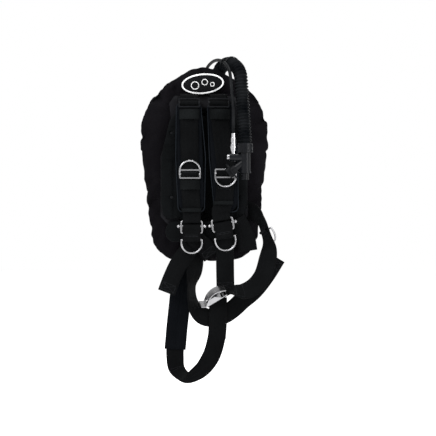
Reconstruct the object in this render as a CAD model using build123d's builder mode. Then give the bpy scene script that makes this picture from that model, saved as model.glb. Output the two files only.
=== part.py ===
"""Single-cylinder diving buoyancy compensator: a ring-shaped air cell behind a metal backplate, a webbing
harness with shoulder pads, a power inflator on a corrugated hose, and two cam bands for the cylinder.

The frame: millimetres, +Z up, +X towards the wearer's left, -Y towards the wearer, +Y towards the cylinder.
The origin is midway between the two bolt holes of the backplate, on its front face.
"""

import os
from math import asin, atan2, cos, hypot, radians, sin, sqrt

from build123d import *

os.makedirs("parts", exist_ok=True)

# Driving dimensions
hole_pitch = 279.4          # bolt holes of every technical backplate, 11 inches apart
hole_radius = 4.9
tank_radius = 92.0          # 184 mm cylinder
webbing = 50.0              # 2 inch webbing
webbing_thick = 2.4
wing_half_height = 277.0
wing_front, wing_rear = -18.0, 40.0
wing_round = 26.0           # roll of the air cell's edge
wing_corner = 85.0
cover_thick = 1.5
bladder_thick = 0.9

plate_thick = 3.0
plate_half_height = 190.0
plate_half_width = 122.0
channel_half = 50.0         # flat middle of the plate
shoulder_x = 75.0           # where the plate's side panels start
side_y = -22.0              # front face of the plate there

band_z = 85.0               # height of the cam bands above and below the origin
band_slot_x = 39.0          # where a band turns round the edge of its plate slot
band_front_y = -0.6
tank_y = 101.0

strap_y = -65.0             # middle of the shoulder webbing
slide_y = -67.0             # rear face of the strap slides
ring_bar_y = -71.8          # bar of a chest ring
adjuster_y = -69.0          # middle of the adjuster frames
ring_wire = 2.5
gap = 0.5                   # webbing to the bar it wraps
wrap = ring_wire + gap + webbing_thick / 2


def front_plane(y):
    """A sketch plane that faces the wearer, at depth y: its x is X and its y is Z."""
    return Plane.XZ.offset(-y)


def finish(builder, name):
    """Labels a finished piece and writes it as its own STEP file."""
    builder.part.label = name
    export_step(builder.part, f"parts/{name}.step")


# ---------------------------------------------------------------------------------------------- webbing
def smooth(controls, steps):
    """Points of a smooth curve through the controls, steps per span, as tuples of the same length. The
    slope at each control weighs its two spans by their length, so uneven spacing makes no bulges."""
    spans = [hypot(*[q - p for p, q in zip(a[:3], b[:3])]) for a, b in zip(controls, controls[1:])]
    chords = [[(q - p) / d for p, q in zip(a, b)] for a, b, d in zip(controls, controls[1:], spans)]
    slopes = [chords[0]]
    for before, after, d, e in zip(chords, chords[1:], spans, spans[1:]):
        slopes.append([(p * e + q * d) / (d + e) for p, q in zip(before, after)])
    slopes.append(chords[-1])
    points = []
    for k, span in enumerate(spans):
        for step in range(steps):
            t = step / steps
            points.append(
                tuple(
                    (2 * t**3 - 3 * t**2 + 1) * p + (3 * t**2 - 2 * t**3) * q
                    + span * ((t**3 - 2 * t**2 + t) * u + (t**3 - t**2) * v)
                    for p, q, u, v in zip(controls[k], controls[k + 1], slopes[k], slopes[k + 1])
                )
            )
    return points + [controls[-1]]


def strap_planes(controls, steps=3):
    """Section planes along a strap. Each control is (x, y, z, wx, wy, wz): a point of the middle line and
    the direction across the strap there."""
    rows = smooth(controls, steps)
    middles = [Vector(*row[:3]) for row in rows]
    planes = []
    for k, row in enumerate(rows):
        along = (middles[min(k + 1, len(rows) - 1)] - middles[max(k - 1, 0)]).normalized()
        across = Vector(*row[3:])
        across = (across - along * across.dot(along)).normalized()
        planes.append(Plane(origin=middles[k], x_dir=across, z_dir=along))
    return planes


def strap(controls, width=webbing, thick=webbing_thick):
    """A strap as one solid that follows its controls."""
    with BuildPart() as piece:
        for plane in strap_planes(controls):
            with BuildSketch(plane):
                Rectangle(width, thick)
        loft(ruled=True)
    return piece


def flat(x, y, z):
    """A control of a strap that lies facing the wearer."""
    return (x, y, z, 1, 0, 0)


def over_bar(x, z):
    """Controls of a shoulder strap that comes forward through a slide, over its bar, and back."""
    half = [(7.6, strap_y - 0.2), (5.0, strap_y - 4.0), (3.9, strap_y - 8.6)]
    above = [flat(x, y, z + dz) for dz, y in [(13.0, strap_y), *half]]
    below = [flat(x, y, z - dz) for dz, y in [(13.0, strap_y), *half]]
    return [*above, flat(x, ring_bar_y - wrap - 0.3, z), *reversed(below)]


class Adjuster:
    """Where one shoulder adjuster sits: its middle and how far it leans. u runs along its bars, v up."""

    top_bar, roller, bottom_bar, ring_bar = 16.0, 2.0, -16.0, -36.0

    def __init__(self, x, z, lean):
        self.x, self.z, self.lean = x, z, radians(lean)
        self.plane = Plane(
            origin=(x, adjuster_y, z), x_dir=(cos(self.lean), 0, sin(self.lean)), z_dir=(0, -1, 0)
        )

    def control(self, v, y):
        """A strap control at height v and depth y, across the adjuster."""
        return (self.x - v * sin(self.lean), y, self.z + v * cos(self.lean),
                cos(self.lean), 0, sin(self.lean))

    def turn(self, bar, side, downwards):
        """Controls of a strap that wraps a bar: from the side given (1 is front) to the other one."""
        sign = -1 if downwards else 1
        steps = [(1.0, 0.0), (0.71, 0.71), (0.0, 1.0), (-0.71, 0.71), (-1.0, 0.0)]
        return [
            self.control(bar + sign * wrap * rise, adjuster_y - side * wrap * out) for out, rise in steps
        ]


right_adjuster = Adjuster(-34.0, -179.0, 0.0)
left_adjuster = Adjuster(52.0, -172.0, 10.0)
right_slide = (-39.0, -32.0)
left_slide = (60.0, -30.0)
ladder_z = 166.0
ladder_x = 41.0


def shoulder_controls(side, slide, adjuster, run):
    """A shoulder strap: out of the plate's slot, through the ladder and the chest slide, round the
    adjuster's top bar, with its sewn end behind."""
    x = side * ladder_x
    top = [flat(x, 1.5, 178), flat(x, -20, 179), flat(x, -42, 187), flat(x, -58, 190), flat(x, -65, 183)]
    end = [adjuster.control(34, -67.5), adjuster.control(24, -71.8)]
    turn = adjuster.turn(adjuster.top_bar, 1, True)
    hem = [adjuster.control(22, -64.7), adjuster.control(28, -64.6)]
    return [*top, *over_bar(x, ladder_z), *run[0], *over_bar(*slide), *run[1], *end, *turn, *hem]


def side_controls(adjuster, tail):
    """A side strap: sewn round the lower ring's bar, up the front, over the roller, and away behind."""
    hem = [adjuster.control(-25, -64.8), adjuster.control(-30, -64.8)]
    under = adjuster.turn(adjuster.ring_bar, -1, True)
    front = [adjuster.control(-26, -73.4), adjuster.control(-8, -73.4)]
    over = adjuster.turn(adjuster.roller, 1, False)
    return [*hem, *under, *front, *over, adjuster.control(-8, -63.6), *tail]


strap_paths = {
    "shoulder_strap_right": shoulder_controls(
        -1, right_slide, right_adjuster,
        (
            [flat(-41, strap_y, 120), flat(-40, strap_y, 40)],
            [flat(-37, strap_y, -90), flat(-34.5, strap_y, -125)],
        ),
    ),
    "shoulder_strap_left": shoulder_controls(
        1, left_slide, left_adjuster,
        (
            [flat(45, strap_y, 120), flat(54, strap_y, 40)],
            [flat(58, strap_y, -80), flat(53, strap_y, -118)],
        ),
    ),
    "side_strap_right": side_controls(
        right_adjuster,
        [(-31, -61.5, -200, 0.97, 0, 0.25), (-16, -59.5, -218, 0.84, 0, 0.54),
         (4, -56, -236, 0.84, 0, 0.54), (22, -53, -262, 0.92, 0, 0.38)],
    ),
    "side_strap_left": side_controls(
        left_adjuster,
        [flat(56, -61.0, -205), flat(58, -58, -250), flat(59, -55, -310), flat(60, -55, -358)],
    ),
    "waist_tail_right": [
        (-18, -52, -208, 0.95, 0, -0.3), (-45, -54, -246, 0.85, 0, -0.5), (-70, -56, -281, 0.87, 0, -0.5),
        (-88, -54, -318, 0.92, 0, -0.4), (-105, -52, -362, 0.93, 0, -0.37),
    ],
    "hip_strap_left": [
        (91, -52.5, -156, 0.9, 0, 0.42), (104, -52.5, -180, 0.9, 0, 0.42), (118, -52, -212, 0.95, 0, 0.3),
        (124, -50, -246, 1, 0, 0.1),
    ],
    "waist_strap_right": [
        (-22, -40, -234, 0.93, 0.36, 0), (-24, -40, -262, 0.93, 0.36, 0), (-27, -40, -300, 0.88, 0.48, 0),
        (-35, -44, -342, 0.45, 0.89, 0), (-33, -44, -380, 0.5, 0.86, -0.1), (-20, -48, -412, 0.6, 0.6, 0.5),
        (4, -53, -430, 0.3, 0.1, 0.95), (34, -53.5, -431, 0, 0, 1), (60, -53.5, -422, -0.45, 0, 0.89),
        (84, -54, -405, -0.75, 0, 0.66), (104, -55, -386, -0.7, 0, 0.7), (137, -57, -358, -0.6, 0, 0.8),
        (172, -57, -314, -0.8, 0, 0.6), (203, -56, -264, -0.9, 0, 0.43),
    ],
    "crotch_strap": [
        (-2, 1.5, -178, 1, 0, 0), (-2, -12, -178, 1, 0, 0), (-7, -23, -187, 0.98, 0, -0.1),
        (-30, -24, -228, 0.95, 0, -0.3), (-50, -24.5, -268, 0.97, 0, -0.2), (-60, -22, -310, 0.98, 0, -0.2),
        (-68, -16, -384, 1, 0, -0.1), (-79, -15, -490, 1, 0, -0.1), (-82, -17, -545, 0.97, 0.2, 0.1),
        (-77, -22, -578, 0.8, 0.5, 0.3), (-52, -32, -600, 0.1, 0.85, 0.5), (-15, -43, -584, -0.4, 0.65, 0.65),
        (16, -53, -546, -0.85, 0.25, 0.45), (35, -60, -486, -0.98, 0.05, 0.2), (39, -61, -426, -1, 0, 0),
        (39, -61, -390, -1, 0, 0), (39, -58.5, -380, -1, 0, 0), (39, -53.5, -376, -1, 0, 0),
        (39, -48.5, -380, -1, 0, 0), (39, -46, -390, -1, 0, 0), (38, -46, -440, -1, 0, 0),
        (36, -46, -490, -0.98, 0, 0.2),
    ],
}

# The waist buckle lies along the left waist strap, leaning back about the strap's own line.
buckle_along = Vector(0.857, 0, 0.515).normalized()
buckle_lean = radians(76)
buckle_out = Vector(
    -buckle_along.Z * sin(buckle_lean), -cos(buckle_lean), buckle_along.X * sin(buckle_lean)
)
waist_buckle = Plane(origin=(27, -97, -376), x_dir=buckle_along, z_dir=buckle_out)


def beside_buckle(along, depth):
    """A control of the waist strap behind the buckle, at a distance along it."""
    point = waist_buckle.from_local_coords((along, 0, -depth))
    across = waist_buckle.y_dir
    return (point.X, point.Y, point.Z, across.X, across.Y, across.Z)


strap_paths["waist_strap_left"] = [
    (98, -22.3, -130, 0, 0, -1), (114, -23.5, -131, 0, 0, -1), (129, -28, -134, 0, 0, -1),
    (144, -39, -144, -0.2, 0.35, -0.9), (160, -47, -163, -0.42, 0.86, -0.15),
    (170, -52, -190, -0.42, 0.9, -0.1), (177, -59, -216, -0.5, 0.86, 0), (180, -68, -246, -0.85, 0.5, 0.1),
    (175, -73, -276, -0.98, 0.1, 0.15), (160, -80, -318, -0.8, 0.15, 0.58),
    (134, -86, -346, -0.4, 0.35, 0.85), (107, -91, -356, -0.2, 0.6, 0.77), (84, -95, -354, -0.15, 0.85, 0.5),
    beside_buckle(50, 7), beside_buckle(34, 4.4), beside_buckle(-24, 4.4),
]
for strap_name, strap_controls in strap_paths.items():
    finish(strap(strap_controls), strap_name)

# The neoprene sleeve on the rear run of the crotch strap
pad_run = strap_planes(strap_paths["crotch_strap"])[12:24]
with BuildPart() as crotch_pad:
    for section in pad_run:
        with BuildSketch(section):
            Rectangle(60, 9)
    loft(ruled=True)
    for section in pad_run:
        with BuildSketch(section):
            Rectangle(webbing + 1, webbing_thick + 1)
    loft(ruled=True, mode=Mode.SUBTRACT)
finish(crotch_pad, "crotch_pad")


# -------------------------------------------------------------------------------------------- air cell
def wing_outline():
    """The air cell's outline: a rounded polygon with broad shoulders and a narrower foot."""
    right = [
        (26, 277), (120, 221), (153, 184), (180, 122), (183, 60), (150, -225), (108, -277),
    ]
    with BuildSketch() as outline:
        with BuildLine():
            Polyline(*right, *[(-x, z) for x, z in reversed(right)], close=True)
        make_face()
        fillet(outline.vertices(), wing_corner)
    return outline.sketch


def band_face():
    """What a closed cam band encloses: the cylinder, drawn to the two plate slots in front of it."""
    reach = hypot(band_slot_x, tank_y - band_front_y)
    heading = atan2(tank_y - band_front_y, -band_slot_x) - asin(tank_radius / reach)
    run = sqrt(reach**2 - tank_radius**2)
    touch = (band_slot_x + run * cos(heading), band_front_y + run * sin(heading))
    with BuildSketch() as face:
        with BuildLine():
            Line((-band_slot_x, band_front_y), (band_slot_x, band_front_y))
            Line((band_slot_x, band_front_y), touch)
            ThreePointArc(touch, (0, tank_y + tank_radius), (-touch[0], touch[1]))
            Line((-touch[0], touch[1]), (-band_slot_x, band_front_y))
        make_face()
    return face.sketch


recess_half_x, recess_half_z = 80.0, 196.0
web_front, web_rear = 4.0, 8.0
groove_top = 172.0


def wing_solid(inset, hollow_middle):
    """The air cell's ring, drawn in by inset on every side. Its middle is open, or is a flat web."""
    with BuildPart() as body:
        with BuildSketch(front_plane(wing_rear - inset)):
            add(wing_outline())
            if inset:
                offset(amount=-inset)
        extrude(amount=wing_rear - wing_front - 2 * inset)
        fillet(body.faces().filter_by(Axis.Y).edges(), wing_round - inset)
        middle_rear = wing_rear if hollow_middle else web_front
        with BuildSketch(front_plane(middle_rear)):
            RectangleRounded(2 * (recess_half_x + inset), 2 * (recess_half_z + inset), 20)
        extrude(amount=middle_rear - wing_front, mode=Mode.SUBTRACT)
        with BuildSketch(Plane.XY.offset(-wing_half_height - 5)):
            add(band_face())
            offset(amount=webbing_thick + 1.5 + inset)
            with Locations((0, web_rear - inset)):
                Rectangle(400, 400, align=(Align.CENTER, Align.MIN), mode=Mode.INTERSECT)
        extrude(amount=wing_half_height + 5 + groove_top, mode=Mode.SUBTRACT)
    return body


elbow_x, elbow_z = 40.0, 221.0
dump_x, dump_z = -106.0, -178.0
port_radius = 16.0
outer_skin = wing_solid(0, False)
cover_lining = wing_solid(cover_thick, True)
bladder_skin = wing_solid(cover_thick + 0.5, True)
bladder_air = wing_solid(cover_thick + 0.5 + bladder_thick, True)


ports = [(elbow_x, elbow_z), (dump_x, dump_z)]
with BuildPart() as wing_cover:
    add(outer_skin.part)
    add(cover_lining.part, mode=Mode.SUBTRACT)
    with BuildSketch(front_plane(wing_rear + 1)):
        with Locations(*ports):
            Circle(port_radius + 0.4)
    extrude(amount=8, mode=Mode.SUBTRACT)
    with BuildSketch(front_plane(web_rear + 1)):
        with Locations(*[(sx * 45.6, sz * band_z) for sx in (-1, 1) for sz in (-1, 1)]):
            Rectangle(9.6, webbing + 4)
        with Locations((0, hole_pitch / 2), (0, -hole_pitch / 2)):
            Circle(6)
    extrude(amount=6, mode=Mode.SUBTRACT)
finish(wing_cover, "wing_cover")

with BuildPart() as wing_bladder:
    add(bladder_skin.part)
    add(bladder_air.part, mode=Mode.SUBTRACT)
    with BuildSketch(front_plane(wing_rear + 1)):
        with Locations(*ports):
            Circle(port_radius + 0.4)
    extrude(amount=8, mode=Mode.SUBTRACT)
finish(wing_bladder, "wing_bladder")

rail_gap = 1.2              # between a rail and the cylinder when the bands are loose
with BuildPart() as tank_rails:
    with BuildSketch(Plane.XY.offset(-150)):
        with Locations((-28, web_rear + 0.3), (28, web_rear + 0.3)):
            Rectangle(12, 8, align=(Align.CENTER, Align.MIN))
        with Locations((0, tank_y)):
            Circle(tank_radius + rail_gap, mode=Mode.SUBTRACT)
    extrude(amount=300)
finish(tank_rails, "tank_rails")

patch_width, patch_height = 122.0, 60.0
with BuildPart() as name_patch:
    with BuildSketch(Plane(origin=(-4, wing_front - 0.3, 224), x_dir=(0.996, 0, 0.087), z_dir=(0, -1, 0))):
        Ellipse(patch_width / 2, patch_height / 2)
    extrude(amount=2)
finish(name_patch, "name_patch")

# ------------------------------------------------------------------------------------------- backplate

screw_spots = [(sx * 92.0, sz) for sx in (-1, 1) for sz in (84.0, -96.0)]
screw_radius, screw_head_radius, screw_seat_y = 2.5, 6.0, -42.0
bends = [(channel_half, 0), (shoulder_x, side_y), (plate_half_width, side_y - 12)]
sheet_front = [*[(-x, y) for x, y in reversed(bends)], *bends]
with BuildPart() as backplate:
    with BuildSketch(Plane.XY.offset(-plate_half_height)):
        with BuildLine():
            sheet_rear = [(x, y + plate_thick) for x, y in reversed(sheet_front)]
            Polyline(*sheet_front, *sheet_rear, close=True)
        make_face()
    extrude(amount=2 * plate_half_height)
    with BuildSketch(front_plane(20)):
        with BuildLine():
            edge = Polyline(
                (0, 190), (84, 190), (98, 168), (92, 110), (plate_half_width, 20), (plate_half_width, -150),
                (96, -178), (46, -190), (0, -190),
            )
            mirror(edge, about=Plane.YZ)
        make_face()
        fillet(vertices(), 11)
    extrude(amount=80, mode=Mode.INTERSECT)
    with BuildSketch(front_plane(20)):
        with Locations((0, hole_pitch / 2), (0, -hole_pitch / 2)):
            Circle(hole_radius)
        with Locations(*[(sx * 42.0, sz * band_z) for sx in (-1, 1) for sz in (-1, 1)]):
            Rectangle(7.4, webbing + 4)
        with Locations((-ladder_x, 178), (ladder_x, 178)):
            Rectangle(webbing + 4, 8)
        with Locations((-104, -130), (104, -130)):
            Rectangle(8, webbing + 4)
        with Locations((0, -178)):
            Rectangle(webbing + 4, 8)
        with Locations(*screw_spots):
            Circle(screw_radius + 0.4)
    extrude(amount=80, mode=Mode.SUBTRACT)
finish(backplate, "backplate")

pad_top, pad_foot = 158.0, -156.0
with BuildPart() as back_pad:
    with BuildSketch(Plane.XY.offset(pad_foot)):
        with BuildLine():
            front = [(20, -24), (34, -36), (52, -47), (118, -51)]
            rear = [(124, -36), (shoulder_x - 1, side_y - 0.8), (channel_half, -0.8)]
            right = [*front, *rear]
            Polyline(*right, *[(-x, y) for x, y in reversed(right)], close=True)
        make_face()
        with Locations((0, band_front_y)):
            Rectangle(2 * band_slot_x + 9, 7, mode=Mode.SUBTRACT)
    extrude(amount=pad_top - pad_foot)
    with BuildSketch(front_plane(10)):
        with BuildLine():
            edge = Polyline((0, pad_top), (66, pad_top), (96, 120), (120, 20), (122, -110), (112, pad_foot),
                            (0, pad_foot))
            mirror(edge, about=Plane.YZ)
        make_face()
        fillet(vertices(), 14)
    extrude(amount=80, mode=Mode.INTERSECT)
    with BuildSketch(front_plane(10)):
        with Locations(*screw_spots):
            Circle(screw_radius + 0.5)
        with Locations((0, hole_pitch / 2), (0, -hole_pitch / 2)):
            Circle(8)
    extrude(amount=80, mode=Mode.SUBTRACT)
    with BuildSketch(front_plane(screw_seat_y)):
        with Locations(*screw_spots):
            Circle(screw_head_radius + 1)
    extrude(amount=20, mode=Mode.SUBTRACT)
finish(back_pad, "back_pad")

with BuildPart() as pad_screws:
    for outline_radius, rear, length in (
        (screw_radius, -19.7, 24), (screw_head_radius, screw_seat_y - 0.3, 2), (5, -19.7, 1.6)
    ):
        with BuildSketch(front_plane(rear)):
            with Locations(*screw_spots):
                Circle(outline_radius)
        extrude(amount=length)
finish(pad_screws, "pad_screws")

with BuildPart() as lumbar_pad:
    with BuildSketch(front_plane(-37.5)):
        with Locations((0, -192)):
            RectangleRounded(216, 60, 26)
    extrude(amount=10)
finish(lumbar_pad, "lumbar_pad")

# --------------------------------------------------------------------------------------- shoulder pads


def shoulder_pad(points, foot_round):
    """A flat foam pad behind a shoulder strap, with its outline given as corners."""
    with BuildPart() as pad:
        with BuildSketch(front_plane(-53.2)):
            with BuildLine():
                Polyline(*points, close=True)
            make_face()
            fillet(vertices().group_by(Axis.Y)[0], foot_round)
            fillet(vertices().group_by(Axis.Y)[-1], 12)
        extrude(amount=9.2)
        fillet(pad.faces().sort_by(Axis.Y)[0].edges(), 3)
    return pad


finish(shoulder_pad([(-78, 166), (-7.5, 166), (3, -138), (-73, -138)], 30), "shoulder_pad_right")
finish(shoulder_pad([(8, 166), (78, 166), (97, -138), (28, -138)], 30), "shoulder_pad_left")

# -------------------------------------------------------------------------------------- strap hardware


def slide_plates(spots, bar):
    """Stamped slides in front of the straps. With bar, a round bar across each window holds the strap."""
    with BuildPart() as slides:
        with BuildSketch(front_plane(slide_y)):
            with Locations(*spots):
                RectangleRounded(60, 26, 4)
                Rectangle(webbing + 1.6, 18, mode=Mode.SUBTRACT)
        extrude(amount=2)
        if bar:
            for x, z in spots:
                with BuildSketch(Plane.YZ.offset(x - 28.5)):
                    with Locations((ring_bar_y, z)):
                        Circle(ring_wire)
                extrude(amount=57)
                with BuildSketch(front_plane(slide_y - 1)):
                    with Locations((x - 28, z), (x + 28, z)):
                        Rectangle(3, 6)
                extrude(amount=4)
    return slides


finish(slide_plates([(-ladder_x, ladder_z), (ladder_x, ladder_z)], True), "ladder_buckles")
finish(slide_plates([right_slide, left_slide], False), "chest_slides")


def d_ring(place):
    """A welded D ring of round wire. The place is the middle of its bar, with x along the bar and y to
    the bow."""
    half, straight = 28.5, 8.0
    left_corner = place.from_local_coords((-half, 0, 0))
    bow_start = Plane(
        origin=place.from_local_coords((half, straight, 0)), x_dir=place.x_dir, z_dir=-place.y_dir
    )
    bow_axis = Axis(place.from_local_coords((0, straight, 0)), place.z_dir)
    with BuildPart() as ring:
        with BuildSketch(Plane(origin=left_corner, z_dir=place.x_dir)):
            Circle(ring_wire)
        extrude(amount=2 * half)
        for end in (-half, half):
            with BuildSketch(Plane(origin=place.from_local_coords((end, 0, 0)), z_dir=place.y_dir)):
                Circle(ring_wire)
            extrude(amount=straight)
            with Locations(place.from_local_coords((end, 0, 0))):
                Sphere(ring_wire)
        with BuildSketch(bow_start):
            Circle(ring_wire)
        revolve(axis=bow_axis, revolution_arc=180)
    return ring


def ring_place(x, y, z, up, lean=0.0):
    """The place of a D ring that faces the wearer, with its bow up or down."""
    across = (cos(lean), 0, sin(lean)) if up else (-cos(lean), 0, -sin(lean))
    return Plane(origin=(x, y, z), x_dir=across, z_dir=(0, -1, 0))


finish(d_ring(ring_place(right_slide[0], ring_bar_y, right_slide[1], True)), "chest_ring_right")
finish(d_ring(ring_place(left_slide[0], ring_bar_y, left_slide[1], False)), "chest_ring_left")
for adjuster, side_name in ((right_adjuster, "right"), (left_adjuster, "left")):
    bar_point = adjuster.plane.from_local_coords((0, adjuster.ring_bar, 0))
    place = ring_place(bar_point.X, bar_point.Y, bar_point.Z, False, adjuster.lean)
    finish(d_ring(place), f"lower_ring_{side_name}")

frame_wire = 2.2
roller_travel = 6.0
for adjuster, side_name in ((right_adjuster, "right"), (left_adjuster, "left")):
    with BuildPart() as adjuster_frame:
        with BuildSketch(adjuster.plane.offset(-frame_wire)):
            RectangleRounded(2 * (29 + frame_wire), 2 * (adjuster.top_bar + frame_wire), 6)
            inside_height = 2 * (adjuster.top_bar - frame_wire)
            RectangleRounded(2 * (29 - frame_wire), inside_height, 3, mode=Mode.SUBTRACT)
        extrude(amount=2 * frame_wire)
        fillet(adjuster_frame.edges(), 1.6)
        with BuildSketch(adjuster.plane.offset(-4.5)):
            with Locations(*[(end * 29.2, adjuster.roller - roller_travel / 2) for end in (-1, 1)]):
                RectangleRounded(5, 18, 1.5)
        extrude(amount=9)
        slot_middle = adjuster.plane.from_local_coords((0, adjuster.roller - roller_travel / 2, 0))
        with BuildSketch(Plane(origin=slot_middle, x_dir=adjuster.plane.y_dir, z_dir=adjuster.plane.x_dir)):
            SlotOverall(roller_travel + 2 * (ring_wire + 0.06), 2 * (ring_wire + 0.06))
        extrude(amount=40, both=True, mode=Mode.SUBTRACT)
    finish(adjuster_frame, f"adjuster_frame_{side_name}")

    roller_middle = adjuster.plane.from_local_coords((0, adjuster.roller, 0))
    with BuildPart() as adjuster_roller:
        with BuildSketch(Plane(origin=roller_middle, x_dir=adjuster.plane.x_dir, z_dir=(0, -1, 0))):
            Rectangle(72, 2 * ring_wire)
            with Locations((-36.6, 0), (36.6, 0)):
                Circle(4.6)
            Rectangle(100, 20, align=(Align.CENTER, Align.MAX), mode=Mode.SUBTRACT)
        revolve(axis=Axis(roller_middle, adjuster.plane.x_dir))
    finish(adjuster_roller, f"adjuster_roller_{side_name}")

# The ring on the left hip and the webbing tab that holds it on the waist strap
hip = strap_planes(strap_paths["waist_strap_left"])[15]
hip_along, hip_across = hip.z_dir, hip.x_dir
hip_out = hip_along.cross(hip_across)
hip_height = 5.9            # ring bar above the strap's middle
hip_bar = hip.origin + hip_out * hip_height
hip_lean = radians(18)
ring_along = hip_along * cos(hip_lean) + hip_out * sin(hip_lean)
finish(d_ring(Plane(origin=hip_bar, x_dir=hip_across, z_dir=hip_across.cross(ring_along))), "hip_ring")
with BuildPart() as hip_tab:
    with BuildSketch(Plane(origin=hip.origin - hip_across * 17, x_dir=hip_along, z_dir=hip_across)):
        with Locations((0, hip_height)):
            Circle(ring_wire + gap + 1.3)
        with Locations((0, 2.2)):
            Rectangle(26, 1.3, align=(Align.CENTER, Align.MIN))
        with Locations((0, hip_height)):
            Circle(ring_wire + gap, mode=Mode.SUBTRACT)
            Rectangle(2 * (ring_wire + gap), 12, align=(Align.CENTER, Align.MAX), mode=Mode.SUBTRACT)
    extrude(amount=34)
finish(hip_tab, "hip_tab")

# ------------------------------------------------------------------------------------------- cam bands
band_outer = tank_radius + webbing_thick
cam_pin = (4.0, 9.0)        # along the band and outwards, from the foot of the buckle
cam_pin_radius = 2.5
cam_cheek, cam_inner_half = 2.0, 26.5
spare_start, spare_turn = 46, 46   # where the band's spare end lies over it, in degrees round the cylinder
for sign, band_name in ((1, "upper"), (-1, "lower")):
    with BuildPart() as cam_band:
        with BuildSketch(Plane.XY.offset(sign * band_z - webbing / 2)):
            add(band_face())
            offset(amount=webbing_thick)
            with BuildLine():
                CenterArc((0, tank_y), band_outer + webbing_thick / 2, spare_start, spare_turn)
            trace(line_width=webbing_thick)
            add(band_face(), mode=Mode.SUBTRACT)
        extrude(amount=webbing)
    finish(cam_band, f"{band_name}_cam_band")

    heading = radians(24)
    foot = ((band_outer + 0.4) * cos(heading), tank_y + (band_outer + 0.4) * sin(heading), sign * band_z)
    # Its x runs along the band, its y outwards, and its normal down the cylinder.
    buckle_side = Plane(origin=foot, x_dir=(-sin(heading), cos(heading), 0), z_dir=(0, 0, -1))
    with BuildPart() as cam_frame:
        with BuildSketch(buckle_side.offset(-cam_inner_half - cam_cheek)):
            with Locations((0, 1)):
                Rectangle(58, 2)
        extrude(amount=2 * (cam_inner_half + cam_cheek))
        with BuildSketch(buckle_side.offset(-cam_inner_half - cam_cheek)):
            with BuildLine():
                Polyline((-22, 1), (24, 1), (13, 14), (-6, 14), close=True)
            make_face()
        extrude(amount=cam_cheek)
        mirror(about=buckle_side)
        with BuildSketch(buckle_side):
            with Locations(cam_pin):
                Circle(cam_pin_radius)
        extrude(amount=cam_inner_half, both=True)
    finish(cam_frame, f"{band_name}_cam_frame")

    with BuildPart() as cam_lever:
        with BuildSketch(buckle_side.offset(-cam_inner_half + 0.6)):
            with Locations(cam_pin):
                Circle(6.4)
            with BuildLine():
                Polyline((1, 12), (2, 15.6), (-20, 17), (-44, 13), (-44, 10.6), (-20, 14.2), close=True)
            make_face()
            with Locations(cam_pin):
                Circle(cam_pin_radius + 0.05, mode=Mode.SUBTRACT)
        extrude(amount=2 * cam_inner_half - 1.2)
    finish(cam_lever, f"{band_name}_cam_lever")

# ---------------------------------------------------------------------------------------------- hoses
hose_crest, hose_bore = 19.0, 14.6
inflator_x, inflator_y = 113.0, -130.0
elbow_y = 64.0


def hose_path(start, foot, top_radius, shoulder_bend, last_radius):
    """The middle line of a hose that rises from start, arches over the shoulder and hangs down to foot."""
    span = hypot(foot[0] - start[0], foot[1] - start[1])
    forwards = ((foot[0] - start[0]) / span, (foot[1] - start[1]) / span, 0)
    lean = 60 - shoulder_bend       # degrees from upright of the straight run
    with BuildLine() as path:
        rise = Line((0, start[2]), (0, start[2] + 2))
        first = JernArc(rise @ 1, rise % 1, 30, -75)
        top = JernArc(first @ 1, first % 1, top_radius, -45)
        shoulder = JernArc(top @ 1, top % 1, 55, -shoulder_bend)
        reach = span - (shoulder @ 1).X - last_radius * (1 - cos(radians(lean)))
        run = Line(shoulder @ 1, shoulder @ 1 + (shoulder % 1) * (reach / sin(radians(lean))))
        last = JernArc(run @ 1, run % 1, last_radius, -lean)
        Line(last @ 1, (span, foot[2]))
    side = Plane(origin=(start[0], start[1], 0), x_dir=forwards, z_dir=(forwards[1], -forwards[0], 0))
    return path.wire().moved(side.location)


def hose_solid(wire, radius, bore, bore_depth):
    """A hose along a wire, bored at both ends for the necks it's pushed onto."""
    with BuildPart() as tube:
        with BuildSketch(Plane(origin=wire @ 0, z_dir=wire % 0)):
            Circle(radius)
        sweep(path=wire)
        if bore:
            for end in (Plane(origin=wire @ 0, z_dir=wire % 0), Plane(origin=wire @ 1, z_dir=-(wire % 1))):
                with BuildSketch(end):
                    Circle(bore)
                extrude(amount=bore_depth, mode=Mode.SUBTRACT)
    return tube


hose_wire = hose_path((elbow_x, elbow_y, 246), (inflator_x, inflator_y, 24), 170, 50, 150)
finish(hose_solid(hose_wire, hose_crest, hose_bore, 26), "corrugated_hose")

with BuildPart() as elbow_flange:
    with BuildSketch(front_plane(46)):
        with Locations((elbow_x, elbow_z)):
            Circle(22)
    extrude(amount=5.7)
    with BuildSketch(front_plane(46)):
        with Locations((elbow_x, elbow_z)):
            Circle(port_radius)
    extrude(amount=12)
    with BuildSketch(front_plane(50)):
        with Locations((elbow_x, elbow_z)):
            Circle(12.05)
    extrude(amount=30, mode=Mode.SUBTRACT)
finish(elbow_flange, "elbow_flange")

with BuildPart() as inflator_elbow:
    for rear, radius, length in ((46.4, 12, 9), (elbow_y, 15.5, elbow_y - 46.2)):
        with BuildSketch(front_plane(rear)):
            with Locations((elbow_x, elbow_z)):
                Circle(radius)
        extrude(amount=length)
    for base, radius, length in ((elbow_z - 17, 17, 34), (elbow_z + 17, hose_bore - 0.3, 24)):
        with BuildSketch(Plane.XY.offset(base)):
            with Locations((elbow_x, elbow_y)):
                Circle(radius)
        extrude(amount=length)
    with BuildSketch(Plane.XY.offset(elbow_z - 10)):
        with Locations((elbow_x, elbow_y)):
            Circle(10)
    extrude(amount=60, mode=Mode.SUBTRACT)
    with BuildSketch(front_plane(elbow_y)):
        with Locations((elbow_x, elbow_z)):
            Circle(9)
    extrude(amount=40, mode=Mode.SUBTRACT)
finish(inflator_elbow, "inflator_elbow")

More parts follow.
